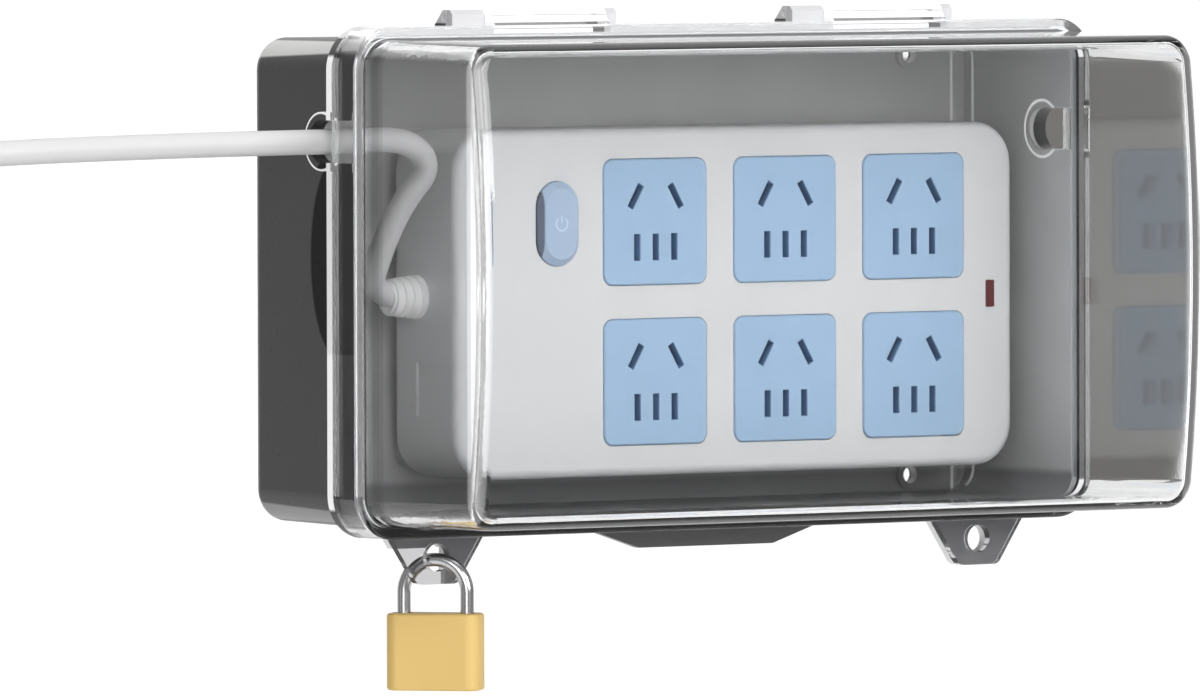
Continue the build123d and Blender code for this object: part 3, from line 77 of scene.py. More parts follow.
class NodeGraph:
    """Thin helper round a node tree."""

    def __init__(self, tree: bpy.types.NodeTree) -> None:
        """Wraps the node tree to fill."""
        self.tree = tree

    def add(self, kind: str, **values: object) -> bpy.types.Node:
        """Adds a node and sets its properties.

        Args:
            kind: The node's type name.
            **values: Property names and values.

        Returns:
            The new node.
        """
        node = self.tree.nodes.new(kind)
        for name, value in values.items():
            setattr(node, name, value)
        return node

    def feed(self, target: bpy.types.NodeSocket, value: object) -> None:
        """Gives a socket a link or a constant.

        Args:
            target: The input socket.
            value: An output socket or a number.
        """
        if isinstance(value, bpy.types.NodeSocket):
            self.tree.links.new(value, target)
        else:
            target.default_value = value

    def maths(self, operation: str, *values: object) -> bpy.types.NodeSocket:
        """Adds a Math node.

        Args:
            operation: Its operation.
            *values: Sockets or numbers.

        Returns:
            The result socket.
        """
        node = self.add("ShaderNodeMath", operation=operation)
        for socket, value in zip(node.inputs, values):
            self.feed(socket, value)
        return node.outputs[0]

    def step(self, value: object, low: float, high: float) -> bpy.types.NodeSocket:
        """Smooth step from 0 at low to 1 at high; low may be the larger.

        Args:
            value: The socket to test.
            low: Where the step starts.
            high: Where it ends.

        Returns:
            A socket between 0 and 1.
        """
        node = self.add("ShaderNodeMapRange", interpolation_type="SMOOTHSTEP", clamp=True)
        self.feed(node.inputs["Value"], value)
        low, high, start, end = (low, high, 0.0, 1.0) if low < high else (high, low, 1.0, 0.0)
        for name, number in (("From Min", low), ("From Max", high), ("To Min", start), ("To Max", end)):
            node.inputs[name].default_value = number
        return node.outputs["Result"]

    def line(self, value: object, centre: float, half: float, soft: float) -> bpy.types.NodeSocket:
        """Thin line: 1 within half of the centre and 0 past the soft edge.

        Args:
            value: The socket to test.
            centre: The line's middle.
            half: Half of its full width.
            soft: Width of its soft edge.

        Returns:
            A socket between 0 and 1.
        """
        return self.every(self.step(value, centre - half - soft, centre - half),
                          self.step(value, centre + half + soft, centre + half))

    def size(self, value: object) -> bpy.types.NodeSocket:
        """Distance from 0."""
        return self.maths("ABSOLUTE", value)

    def other(self, mask: object) -> bpy.types.NodeSocket:
        """The rest of a mask."""
        return self.maths("SUBTRACT", 1.0, mask)

    def every(self, *masks: object) -> bpy.types.NodeSocket:
        """Product of masks.

        Args:
            *masks: Sockets between 0 and 1.

        Returns:
            The product.
        """
        result = masks[0]
        for mask in masks[1:]:
            result = self.maths("MULTIPLY", result, mask)
        return result

    def tinted(self, colour: object, mask: object, tint: Colour) -> bpy.types.NodeSocket:
        """Mixes a colour into another by a mask.

        Args:
            colour: The colour underneath.
            mask: How much of the tint shows.
            tint: The colour on top.

        Returns:
            The mixed colour.
        """
        node = self.add("ShaderNodeMix", data_type="RGBA")
        self.feed(node.inputs["Factor"], mask)
        self.feed(node.inputs[6], colour)
        node.inputs[7].default_value = (*tint, 1.0)
        return node.outputs[2]

    def place(self) -> tuple[bpy.types.NodeSocket, bpy.types.NodeSocket, bpy.types.NodeSocket]:
        """X, Y and Z of the object coordinates.

        Returns:
            Three sockets.
        """
        where = self.add("ShaderNodeTexCoord")
        split = self.add("ShaderNodeSeparateXYZ")
        self.link(where.outputs["Object"], split.inputs[0])
        return split.outputs[0], split.outputs[1], split.outputs[2]

    def link(self, source: bpy.types.NodeSocket, target: bpy.types.NodeSocket) -> None:
        """Links an output socket to an input socket."""
        self.tree.links.new(source, target)


@dataclass(frozen=True)
class TextureGroup:
    """Shared node group that breaks up colour, roughness and height in object space."""

    kind: Kind
    stretch: Point = (1.0, 1.0, 1.0)
    fine_detail: float = 6.0
    fine_roughness: float = 0.62
    broad_scale: float = 38.0
    broad_detail: float = 3.0

    def build(self) -> bpy.types.NodeTree:
        """Makes the group once.

        Returns:
            The group's node tree.
        """
        known = bpy.data.node_groups.get(self.kind.value)
        if known:
            return known
        tree = bpy.data.node_groups.new(self.kind.value, "ShaderNodeTree")
        face = tree.interface
        face.new_socket("Base Color", in_out="INPUT", socket_type="NodeSocketColor")
        for name in ("Roughness", "Scale", "Tint", "Spread"):
            face.new_socket(name, in_out="INPUT", socket_type="NodeSocketFloat")
        face.new_socket("Base Color", in_out="OUTPUT", socket_type="NodeSocketColor")
        face.new_socket("Roughness", in_out="OUTPUT", socket_type="NodeSocketFloat")
        face.new_socket("Height", in_out="OUTPUT", socket_type="NodeSocketFloat")
        graph = NodeGraph(tree)
        start = graph.add("NodeGroupInput")
        end = graph.add("NodeGroupOutput")
        where = graph.add("ShaderNodeTexCoord")
        place = graph.add("ShaderNodeMapping")
        place.inputs["Scale"].default_value = self.stretch
        graph.link(where.outputs["Object"], place.inputs["Vector"])
        fine = graph.add("ShaderNodeTexNoise")
        fine.inputs["Detail"].default_value = self.fine_detail
        fine.inputs["Roughness"].default_value = self.fine_roughness
        graph.link(place.outputs["Vector"], fine.inputs["Vector"])
        graph.link(start.outputs["Scale"], fine.inputs["Scale"])
        broad = graph.add("ShaderNodeTexNoise")
        broad.inputs["Scale"].default_value = self.broad_scale
        broad.inputs["Detail"].default_value = self.broad_detail
        graph.link(where.outputs["Object"], broad.inputs["Vector"])
        shade = graph.add("ShaderNodeMath", operation="MULTIPLY_ADD")
        graph.link(broad.outputs["Fac"], shade.inputs[0])
        graph.link(start.outputs["Tint"], shade.inputs[1])
        shade.inputs[2].default_value = 1.0
        shift = graph.add("ShaderNodeMath", operation="MULTIPLY_ADD")
        graph.link(start.outputs["Tint"], shift.inputs[0])
        shift.inputs[1].default_value = -0.5
        graph.link(shade.outputs[0], shift.inputs[2])
        colour = graph.add("ShaderNodeVectorMath", operation="SCALE")
        graph.link(start.outputs["Base Color"], colour.inputs[0])
        graph.link(shift.outputs[0], colour.inputs["Scale"])
        graph.link(colour.outputs["Vector"], end.inputs["Base Color"])
        mixed = graph.add("ShaderNodeMath", operation="SUBTRACT")
        graph.link(fine.outputs["Fac"], mixed.inputs[0])
        mixed.inputs[1].default_value = 0.5
        rough = graph.add("ShaderNodeMath", operation="MULTIPLY_ADD", use_clamp=True)
        graph.link(mixed.outputs[0], rough.inputs[0])
        graph.link(start.outputs["Spread"], rough.inputs[1])
        graph.link(start.outputs["Roughness"], rough.inputs[2])
        graph.link(rough.outputs[0], end.inputs["Roughness"])
        graph.link(fine.outputs["Fac"], end.inputs["Height"])
        return tree


@dataclass(frozen=True)
class Zones:
    """Shared node group that changes a finish by place, in object coordinates."""

    name: str = "plain_zones"

    def paint(self, graph: NodeGraph, colour: bpy.types.NodeSocket) -> Painted:
        """Works out colour, metallic, coat weight and glow from the place; plain here."""
        return colour, 0.0, 0.0, 0.0

    def build(self) -> bpy.types.NodeTree:
        """Makes the group once.

        Returns:
            The group's node tree.
        """
        known = bpy.data.node_groups.get(self.name)
        if known:
            return known
        tree = bpy.data.node_groups.new(self.name, "ShaderNodeTree")
        face = tree.interface
        face.new_socket("Base Color", in_out="INPUT", socket_type="NodeSocketColor")
        face.new_socket("Base Color", in_out="OUTPUT", socket_type="NodeSocketColor")
        face.new_socket("Metallic", in_out="OUTPUT", socket_type="NodeSocketFloat")
        face.new_socket("Coat Weight", in_out="OUTPUT", socket_type="NodeSocketFloat")
        face.new_socket("Emission Color", in_out="OUTPUT", socket_type="NodeSocketColor")
        graph = NodeGraph(tree)
        start = graph.add("NodeGroupInput")
        end = graph.add("NodeGroupOutput")
        colour, metal, coat, glow = self.paint(graph, start.outputs["Base Color"])
        graph.feed(end.inputs["Base Color"], colour)
        graph.feed(end.inputs["Metallic"], metal)
        graph.feed(end.inputs["Coat Weight"], coat)
        spread = graph.add("ShaderNodeCombineXYZ")
        for axis in range(3):
            graph.feed(spread.inputs[axis], glow)
        graph.link(spread.outputs[0], end.inputs["Emission Color"])
        return tree


@dataclass(frozen=True)
class CoverZones(Zones):
    """Right wall that mirrors the modules, grey lugs, darker band and skirt, left wall tinted grey and
    deepened as painted shade, and painted highlights along the outlines, edges, top and hinges.
    """

    name: str = "cover_zones"
    wall_x: float = 0.1198
    wall_top: float = 0.0650
    skirt_y: float = -0.0575
    skirt_out: float = 0.0035
    skirt_past: float = 0.0040
    edge_y: float = -0.1050
    lug_z: float = -0.0713
    bottom_z: float = -0.0672
    right_tint: Colour = (0.86, 0.86, 0.85)
    # Left wall: its own grey tint, made deeper to paint shade on the strip's side seen through it.
    left_wall_tint_and_shade: Colour = (0.78, 0.78, 0.785)
    lug_tint: Colour = (0.60, 0.60, 0.61)
    bottom_tint: Colour = (0.77, 0.77, 0.77)
    # The hinge, top, outline, ridge and left-edge strengths below are painted highlights: emission on the
    # clear cover.
    hinge_z: float = 0.0712
    hinge_highlight: float = 0.12
    top_z: float = 0.0668
    top_highlight: float = 0.08
    outline: Point = (0.819, -0.574, 0.50)
    outline_low: float = 0.1612
    outline_high: float = 0.1624
    outline_highlight: float = 0.20
    ridge_low: float = 0.0648
    ridge_high: float = 0.0658
    ridge_highlight: float = 0.12
    mirror: float = 0.35
    band_y: float = -0.0636
    band_tint: Colour = (0.52, 0.52, 0.525)
    skirt_tint: Colour = (0.74, 0.74, 0.745)
    left_edge_highlight: float = 0.20

    def paint(self, graph: NodeGraph, colour: bpy.types.NodeSocket) -> Painted:
        """Works out colour, metallic, coat and glow from the place.

        Args:
            graph: The group's graph.
            colour: The finish's own colour.

        Returns:
            Colour, metallic, coat weight and glow.
        """
        x, y, z = graph.place()
        height = graph.maths("ABSOLUTE", z)
        wall = graph.every(graph.step(y, self.edge_y - BROAD, self.edge_y),
                           graph.step(y, self.skirt_y, self.skirt_y - FADED),
                           graph.step(height, self.wall_top + HAZY, self.wall_top))
        right = graph.every(wall, graph.step(x, self.wall_x, self.wall_x + SOFT))
        left = graph.every(wall, graph.step(x, -self.wall_x, -self.wall_x - SOFT))
        band = graph.every(left, graph.step(y, self.band_y - EASED, self.band_y + EASED))
        skirt = graph.every(graph.step(x, -self.wall_x - self.skirt_out, -self.wall_x - self.skirt_past),
                            graph.step(y, self.skirt_y, self.skirt_y + SOFT))
        bottom = graph.step(z, self.bottom_z + SOFT, self.bottom_z)
        lugs = graph.step(z, self.lug_z + EASED, self.lug_z)
        for mask, tint in ((right, self.right_tint), (left, self.left_wall_tint_and_shade), (band, self.band_tint),
                           (skirt, self.skirt_tint), (bottom, self.bottom_tint), (lugs, self.lug_tint)):
            colour = graph.tinted(colour, mask, tint)
        # Painted highlights: emission on the front-left edge, the hinge tops, the outline, the front ridges
        # and the top face of the clear cover.
        edge = graph.step(y, self.edge_y, self.edge_y - HAZY)
        left_edge = graph.every(edge, graph.step(x, -self.wall_x, -self.wall_x - BROAD), self.left_edge_highlight)
        hinges = graph.every(graph.step(z, self.hinge_z, self.hinge_z + CRISP), self.hinge_highlight)
        across, along, bow = self.outline
        reach = graph.maths("MULTIPLY_ADD", x, across, graph.maths("MULTIPLY", y, along))
        reach = graph.maths("MULTIPLY_ADD", graph.maths("MULTIPLY", z, z), bow, reach)
        outline = graph.every(graph.step(reach, self.outline_low, self.outline_high), self.outline_highlight)
        ridge = graph.every(edge, graph.step(height, self.ridge_low, self.ridge_high), self.ridge_highlight)
        top = graph.every(graph.step(z, self.top_z, self.top_z + SOFT), self.top_highlight)
        glow = graph.maths("ADD", left_edge, hinges)
        for more in (graph.maths("MAXIMUM", outline, ridge), top):
            glow = graph.maths("ADD", glow, more)
        return colour, 0.0, graph.every(right, self.mirror), glow


@dataclass(frozen=True)
class TrayZones(Zones):
    """Near-black outside (the smoke's own dark plus painted shade), painted highlights on the rim, port rings
    and inner corner, painted shade towards the bottom, and a painted dark reflection curve on the left wall.
    """

    name: str = "tray_zones"
    # Rim and port rings: painted highlights, a lighter colour and emission on the ledge's outer edges and
    # round the ports.
    rim_x: float = 0.1254
    rim_z: float = 0.0698
    rim_back: float = -0.0416
    rim_front: float = -0.0448
    rim_soft: float = 0.0005
    port_y: float = -0.0393
    port_z: float = 0.0391
    port_radius: float = 0.0081
    port_ring: tuple[float, float, float, float] = (-0.0006, -0.0003, 0.0002, 0.0005)
    wall_x: float = 0.1176
    # The curve: a painted dark reflection, a near-black metallic patch on the left wall.
    curve_x: float = -0.1219
    curve_z: float = 0.0070
    curve_half: float = 0.0270
    curve_deep: float = 0.0125
    curve_fade: float = 0.05
    ledge_y: float = -0.0420
    outer_x: float = 0.1218
    outer_z: float = 0.0664
    shoulder_z: float = 0.0675
    hinge_z: float = 0.0712
    back_y: float = -0.0012
    # Outside: the smoky plastic's own dark plus painted shade, painted near-black while the inside stays
    # lighter.
    outside_smoke_and_shade: Colour = (0.036, 0.036, 0.037)
    # Painted shade: everything below floor_z is darkened, towards the bottom of the box.
    floor_z: float = -0.0595
    floor_fade: float = 0.003
    floor_shade: Colour = (0.24, 0.24, 0.243)
    lug_z: float = -0.0712
    lip_x: float = 0.050
    lug_tint: Colour = (0.84, 0.84, 0.85)
    top_tint: Colour = (0.72, 0.72, 0.73)
    rim_highlight_tint: Colour = (0.55, 0.55, 0.56)
    dark_reflection_tint: Colour = (0.012, 0.012, 0.013)
    lip_tint: Colour = (0.13, 0.127, 0.127)
    # Inner corner: two thin painted highlight lines at the inner back-right corner.
    inner_x: float = 0.1156
    inner_y: float = -0.0066
    inner_back: float = -0.0031
    inner_wall: float = 0.1178
    upright_line: tuple[float, float] = (0.0003, 0.0002)
    beside_line: tuple[float, float] = (0.0004, 0.0003)
    inner_corner_highlight: float = 0.18
    rim_highlight: float = 0.42
    port_highlight: float = 0.40

    def paint(self, graph: NodeGraph, colour: bpy.types.NodeSocket) -> Painted:
        """Works out colour, metallic, coat and glow from the place.

        Args:
            graph: The group's graph.
            colour: The finish's own colour.

        Returns:
            Colour, metallic, coat weight and glow.
        """
        x, y, z = graph.place()
        across_box, up_box = graph.size(x), graph.size(z)
        # Painted highlight on the ledge rim here, and below on the rings round the ports.
        depth = graph.every(graph.step(y, self.rim_back, self.rim_back - self.rim_soft),
                            graph.step(y, self.rim_front, self.rim_front + CRISP))
        side = graph.step(across_box, self.rim_x, self.rim_x + SOFT)
        top = graph.step(z, self.rim_z, self.rim_z + SOFT)
        rim = graph.every(depth, graph.maths("MAXIMUM", side, top))
        beside_port = graph.maths("SUBTRACT", y, self.port_y)
        above_port = graph.maths("SUBTRACT", z, self.port_z)
        away = graph.maths("SQRT", graph.maths("ADD", graph.maths("MULTIPLY", beside_port, beside_port),
                                               graph.maths("MULTIPLY", above_port, above_port)))
        low, inner_low, inner_high, high = (self.port_radius + shift for shift in self.port_ring)
        ring = graph.every(graph.step(away, low, inner_low), graph.step(away, high, inner_high),
                           graph.step(across_box, self.wall_x, self.wall_x + CRISP))
        # Painted dark reflection: a curved near-black patch on the left wall, also made metallic.
        share = graph.maths("DIVIDE", graph.maths("SUBTRACT", z, self.curve_z), self.curve_half)
        rest = graph.maths("MAXIMUM", graph.other(graph.maths("MULTIPLY", share, share)), 0.0)
        swell = graph.maths("MULTIPLY", graph.maths("SQRT", rest), self.curve_deep)
        behind = graph.maths("SUBTRACT", y, self.ledge_y)
        curve = graph.every(graph.step(graph.maths("SUBTRACT", swell, behind), -EASED, EASED),
                            graph.step(x, self.curve_x, self.curve_x - CRISP),
                            graph.step(rest, 0.0, self.curve_fade))
        below = graph.step(z, self.lug_z + SOFT, self.lug_z)
        aside = graph.step(across_box, self.lip_x, self.lip_x + BROAD)
        # Outside mask: walls past the outer faces and the back, above the lugs; painted near-black as smoke
        # plus painted shade.
        walls = graph.maths("MAXIMUM", graph.step(across_box, self.outer_x, self.outer_x + SOFT),
                            graph.step(up_box, self.outer_z, self.outer_z + SOFT))
        outside = graph.every(graph.maths("MAXIMUM", walls, graph.step(y, self.back_y, self.back_y + EASED)),
                              graph.other(below))
        shoulder = graph.every(graph.step(z, self.shoulder_z, self.shoulder_z + CRISP),
                               graph.step(y, self.rim_back + SOFT, self.rim_back))
        hinges = graph.step(z, self.hinge_z, self.hinge_z + CRISP)
        # The first tint here is the painted shade below floor_z.
        for mask, tint in ((graph.step(z, self.floor_z + self.floor_fade, self.floor_z), self.floor_shade),
                           (outside, self.outside_smoke_and_shade), (graph.every(below, aside), self.lug_tint),
                           (graph.every(below, graph.other(aside)), self.lip_tint),
                           (graph.maths("MAXIMUM", shoulder, hinges), self.top_tint), (curve, self.dark_reflection_tint),
                           (graph.maths("MAXIMUM", rim, ring), self.rim_highlight_tint)):
            colour = graph.tinted(colour, mask, tint)
        # Painted highlight lines in the inner back-right corner.
        upright = graph.every(graph.line(x, self.inner_x, *self.upright_line),
                              graph.step(y, self.inner_back - CRISP, self.inner_back))
        beside = graph.every(graph.line(y, self.inner_y, *self.beside_line),
                             graph.step(x, self.inner_wall - SOFT, self.inner_wall),
                             graph.step(x, self.outer_x, self.outer_x - SOFT))
        # Painted highlights: emission on the rim, the port rings and the inner corner lines.
        glow = graph.every(depth, side, self.rim_highlight)
        for more in (graph.every(ring, self.port_highlight),
                     graph.every(graph.maths("MAXIMUM", upright, beside), self.inner_corner_highlight)):
            glow = graph.maths("MAXIMUM", glow, more)
        return colour, curve, 0.0, glow


@dataclass(frozen=True)
class DepthZones(Zones):
    """Shade below a face's front, as in the slots of a module or round the button."""

    name: str = "slot_zones"
    front_y: float = -0.0362
    reach: float = 0.0003
    shade: Colour = (0.16, 0.34, 0.62)
    right_x: float = 1.0

    def paint(self, graph: NodeGraph, colour: bpy.types.NodeSocket) -> Painted:
        """Works out colour, metallic, coat and glow from the place.

        Args:
            graph: The group's graph.
            colour: The finish's own colour.

        Returns:
            Colour, metallic, coat weight and glow.
        """
        x, y, _ = graph.place()
        below = graph.every(graph.step(y, self.front_y, self.front_y + self.reach),
                            graph.step(x, self.right_x, self.right_x - self.reach))
        return graph.tinted(colour, below, self.shade), 0.0, 0.0, 0.0


@dataclass(frozen=True)
class CordZones(Zones):
    """Cord greyer outside the box, where the light is stronger."""

    name: str = "cord_zones"
    wall_x: float = -0.1225
    outside_tint: Colour = (0.58, 0.58, 0.58)

    def paint(self, graph: NodeGraph, colour: bpy.types.NodeSocket) -> Painted:
        """Works out colour, metallic, coat and glow from the place.

        Args:
            graph: The group's graph.
            colour: The finish's own colour.

        Returns:
            Colour, metallic, coat weight and glow.
        """
        x, _, _ = graph.place()
        outside = graph.step(x, self.wall_x, self.wall_x - FADED)
        return graph.tinted(colour, outside, self.outside_tint), 0.0, 0.0, 0.0


@dataclass(frozen=True)
class StageZones(Zones):
    """Backdrop that glows white round the part, and a painted dark grey patch on it behind the clear walls,
    which shows through them as grey.
    """

    name: str = "stage_zones"
    dark_y: float = 0.25
    bright_y: float = 0.95
    glow: float = 0.85
    back_tint: Colour = (0.22, 0.22, 0.22)
    # Painted dark patch on the backdrop behind the cover's right wall, laid out along the camera's sight
    # lines through that wall, so the clear wall shows grey.
    dark_patch_tint: Colour = (0.19, 0.185, 0.178)
    patch_left: float = 1.19
    patch_low: float = -0.1445
    patch_high: float = 0.0260
    patch_corner_high: float = 1.3715
    patch_corner_low: float = 1.3985
    patch_right: Point = (1.3488, 0.3200, -2.0600)

    def paint(self, graph: NodeGraph, colour: bpy.types.NodeSocket) -> Painted:
        """Works out colour, metallic, coat and glow from the place.

        Args:
            graph: The group's graph.
            colour: The finish's own colour.

        Returns:
            Colour, metallic, coat weight and glow.
        """
        x, y, z = graph.place()
        back = graph.step(y, self.dark_y, self.bright_y)
        # Painted dark patch: grey, and without the backdrop's glow.
        constant, slope, bow = self.patch_right
        limit = graph.maths("MULTIPLY_ADD", graph.maths("MULTIPLY_ADD", z, bow, slope), z, constant)
        dark_patch = graph.every(back, graph.step(x, self.patch_left, self.patch_left + FADED),
                           graph.step(graph.maths("SUBTRACT", x, limit), FADED, 0.0),
                           graph.step(z, self.patch_low, self.patch_low + FADED),
                           graph.step(z, self.patch_high, self.patch_high - FADED),
                           graph.step(graph.maths("ADD", x, z), self.patch_corner_high,
                                      self.patch_corner_high - FADED),
                           graph.step(graph.maths("SUBTRACT", x, z), self.patch_corner_low,
                                      self.patch_corner_low - FADED))
        colour = graph.tinted(graph.tinted(colour, back, self.back_tint), dark_patch, self.dark_patch_tint)
        return colour, 0.0, 0.0, graph.every(back, graph.other(dark_patch), self.glow)


@dataclass(frozen=True)
class Finish:
    """Procedural finish of one material."""

    name: str
    colour: Colour
    roughness: float
    metallic: float = 0.0
    scale: float = 900.0
    tint: float = 0.06
    spread: float = 0.12
    bump: float = 0.02
    bump_distance: float = 0.0002
    transmission: float = 0.0
    ior: float = 1.5
    # Emission in the finish's own colour; painted light where used, as on the boot.
    glow: float = 0.0
    kind: Kind = Kind.MOULDED
    stretch: Point = (1.0, 1.0, 1.0)
    zones: Zones | None = None

    def build(self) -> bpy.types.Material:
        """Makes the material once.

        Returns:
            The finished material.
        """
        known = bpy.data.materials.get(self.name)
        if known:
            return known
        material = bpy.data.materials.new(self.name)
        material.use_nodes = True
        material.diffuse_color = (*self.colour, 1.0)
        graph = NodeGraph(material.node_tree)
        shader = material.node_tree.nodes["Principled BSDF"]
        group = graph.add("ShaderNodeGroup")
        group.node_tree = TextureGroup(self.kind, self.stretch).build()
        group.inputs["Base Color"].default_value = (*self.colour, 1.0)
        for name, value in (("Roughness", self.roughness), ("Scale", self.scale), ("Tint", self.tint),
                            ("Spread", self.spread)):
            group.inputs[name].default_value = value
        if self.zones:
            zones = graph.add("ShaderNodeGroup")
            zones.node_tree = self.zones.build()
            graph.link(group.outputs["Base Color"], zones.inputs["Base Color"])
            for name in ("Base Color", "Coat Weight", "Emission Color"):
                graph.link(zones.outputs[name], shader.inputs[name])
            if not self.transmission:
                graph.link(zones.outputs["Metallic"], shader.inputs["Metallic"])
            shader.inputs["Emission Strength"].default_value = 1.0
            shader.inputs["Coat IOR"].default_value = COAT_IOR
        else:
            graph.link(group.outputs["Base Color"], shader.inputs["Base Color"])
        graph.link(group.outputs["Roughness"], shader.inputs["Roughness"])
        bump = graph.add("ShaderNodeBump")
        bump.inputs["Strength"].default_value = self.bump
        bump.inputs["Distance"].default_value = self.bump_distance
        graph.link(group.outputs["Height"], bump.inputs["Height"])
        graph.link(bump.outputs["Normal"], shader.inputs["Normal"])
        for name, value in (("Metallic", self.metallic), ("Coat Roughness", COAT_ROUGHNESS),
                            ("Transmission Weight", self.transmission), ("IOR", self.ior)):
            shader.inputs[name].default_value = value
        if self.glow:
            shader.inputs["Emission Color"].default_value = (*self.colour, 1.0)
            shader.inputs["Emission Strength"].default_value = self.glow
        return material

    def dress(self, *pieces: bpy.types.Object) -> None:
        """Gives the finish to whole objects.

        Args:
            *pieces: Objects whose every slot takes the finish.
        """
        for piece in pieces:
            slots = piece.data.materials
            if not slots:
                slots.append(self.build())
            for index in range(len(slots)):
                slots[index] = self.build()


CLEAR = Finish("clear_cover", (0.97, 0.975, 0.98), 0.02, scale=90.0, tint=0.01, spread=0.02, bump=0.01,
               bump_distance=0.0003, transmission=1.0, ior=1.40, zones=CoverZones())
# Light grey base: the tray's inside is painted lighter as painted light; its zones paint the outside
# near-black.
SMOKE = Finish("smoke_tray", (0.58, 0.578, 0.572), 0.32, scale=900.0, tint=0.22, spread=0.25, bump=0.22,
               zones=TrayZones())
WHITE = Finish("white_shell", (0.78, 0.785, 0.79), 0.38, scale=2600.0, tint=0.03, spread=0.12, bump=0.10)
PALE_BLUE = Finish("outlet_blue", (0.40, 0.58, 0.80), 0.36, scale=2400.0, tint=0.05, spread=0.12, bump=0.08,
                   zones=DepthZones())
BUTTON_BLUE = Finish("button_blue", (0.45, 0.58, 0.76), 0.34, scale=1500.0, tint=0.06, bump=0.05,
                     zones=DepthZones("button_zones", -0.0387, 0.0004, (0.14, 0.17, 0.24), -0.0508))
MARK_BLUE = Finish("mark_blue", (0.66, 0.80, 0.94), 0.4, scale=1500.0, tint=0.04, bump=0.03)
INDICATOR = Finish("indicator_red", (0.13, 0.007, 0.010), 0.5, tint=0.12)
CORD_WHITE = Finish("cord_white", (0.77, 0.77, 0.77), 0.5, scale=1500.0, tint=0.05, bump=0.10,
                    zones=CordZones())
# The boot glows a little in its own colour: painted light that brightens it.
BOOT_WHITE = Finish("boot_white", (0.86, 0.86, 0.86), 0.45, scale=1500.0, tint=0.05, bump=0.10, glow=0.14)
PLUG_WHITE = Finish("plug_white", (0.76, 0.76, 0.76), 0.38, scale=2200.0, tint=0.04, bump=0.10)
SEAL = Finish("gasket_rubber", (0.62, 0.62, 0.63), 0.6, scale=1200.0, tint=0.10, bump=0.12)
STEEL = Finish("zinc_steel", (0.62, 0.62, 0.63), 0.32, metallic=1.0, tint=0.12, spread=0.2)
BRASS = Finish("strip_brass", (0.78, 0.62, 0.30), 0.28, metallic=1.0, tint=0.12, spread=0.2)
LOCK_BRASS = Finish("padlock_brass", (0.66, 0.455, 0.15), 0.5, scale=700.0, tint=0.14, spread=0.25,
                    bump=0.05, kind=Kind.BRUSHED, stretch=(3.0, 3.0, 0.12))
KEY_BRASS = Finish("key_brass", (0.72, 0.55, 0.25), 0.3, metallic=1.0, tint=0.15, spread=0.2)
PIN = Finish("hinge_pin", (0.82, 0.82, 0.83), 0.4, metallic=0.2, tint=0.05, spread=0.1)
CHROME = Finish("shackle_chrome", (0.60, 0.60, 0.61), 0.18, metallic=1.0, tint=0.04, spread=0.08)
BLACK = Finish("switch_black", (0.03, 0.03, 0.032), 0.45, tint=0.15)
LAMP = Finish("neon_glass", (0.85, 0.45, 0.35), 0.1, transmission=0.6)
WIRE_BROWN = Finish("core_brown", (0.19, 0.07, 0.025), 0.4, tint=0.1)
WIRE_BLUE = Finish("core_blue", (0.03, 0.13, 0.5), 0.4, tint=0.1)
WIRE_GREEN = Finish("core_green", (0.18, 0.45, 0.06), 0.4, tint=0.1)
TIE_BLACK = Finish("tie_black", (0.04, 0.04, 0.043), 0.5, tint=0.15, bump=0.12)

NODE_FINISHES: dict[str, Finish] = {
    "rear_tray": SMOKE, "front_cover": CLEAR, "seal_gasket": SEAL,
    "hinge_pin_left": PIN, "hinge_pin_right": PIN,
    "strip_rear_shell": WHITE, "strip_front_shell": WHITE,
    "strip_case_screws": STEEL, "strip_mount_screws": STEEL, "clamp_screws": STEEL,
    "live_bar": BRASS, "neutral_bar": BRASS, "earth_bar": BRASS,
    "switch_button": BUTTON_BLUE, "switch_body": BLACK, "switch_spring": STEEL,
    "indicator_lens": INDICATOR, "indicator_lamp": LAMP,
    "cord_boot": BOOT_WHITE, "cord_clamp": WHITE, "cord_inner_end": CORD_WHITE,
    "wire_live": WIRE_BROWN, "wire_switched": WIRE_BROWN, "wire_neutral": WIRE_BLUE, "wire_earth": WIRE_GREEN,
    "coil_tie": TIE_BLACK, "plug_body": PLUG_WHITE, "plug_boot": CORD_WHITE, "plug_pins": BRASS,
    "padlock_shackle": CHROME, "padlock_body": LOCK_BRASS, "padlock_latch": KEY_BRASS,
    "padlock_cylinder": KEY_BRASS,
}


def deselect(mesh: bpy.types.Mesh) -> None:
    """Deselects every vertex, edge and face of a mesh."""
    for part in (*mesh.vertices, *mesh.edges, *mesh.polygons):
        part.select = False


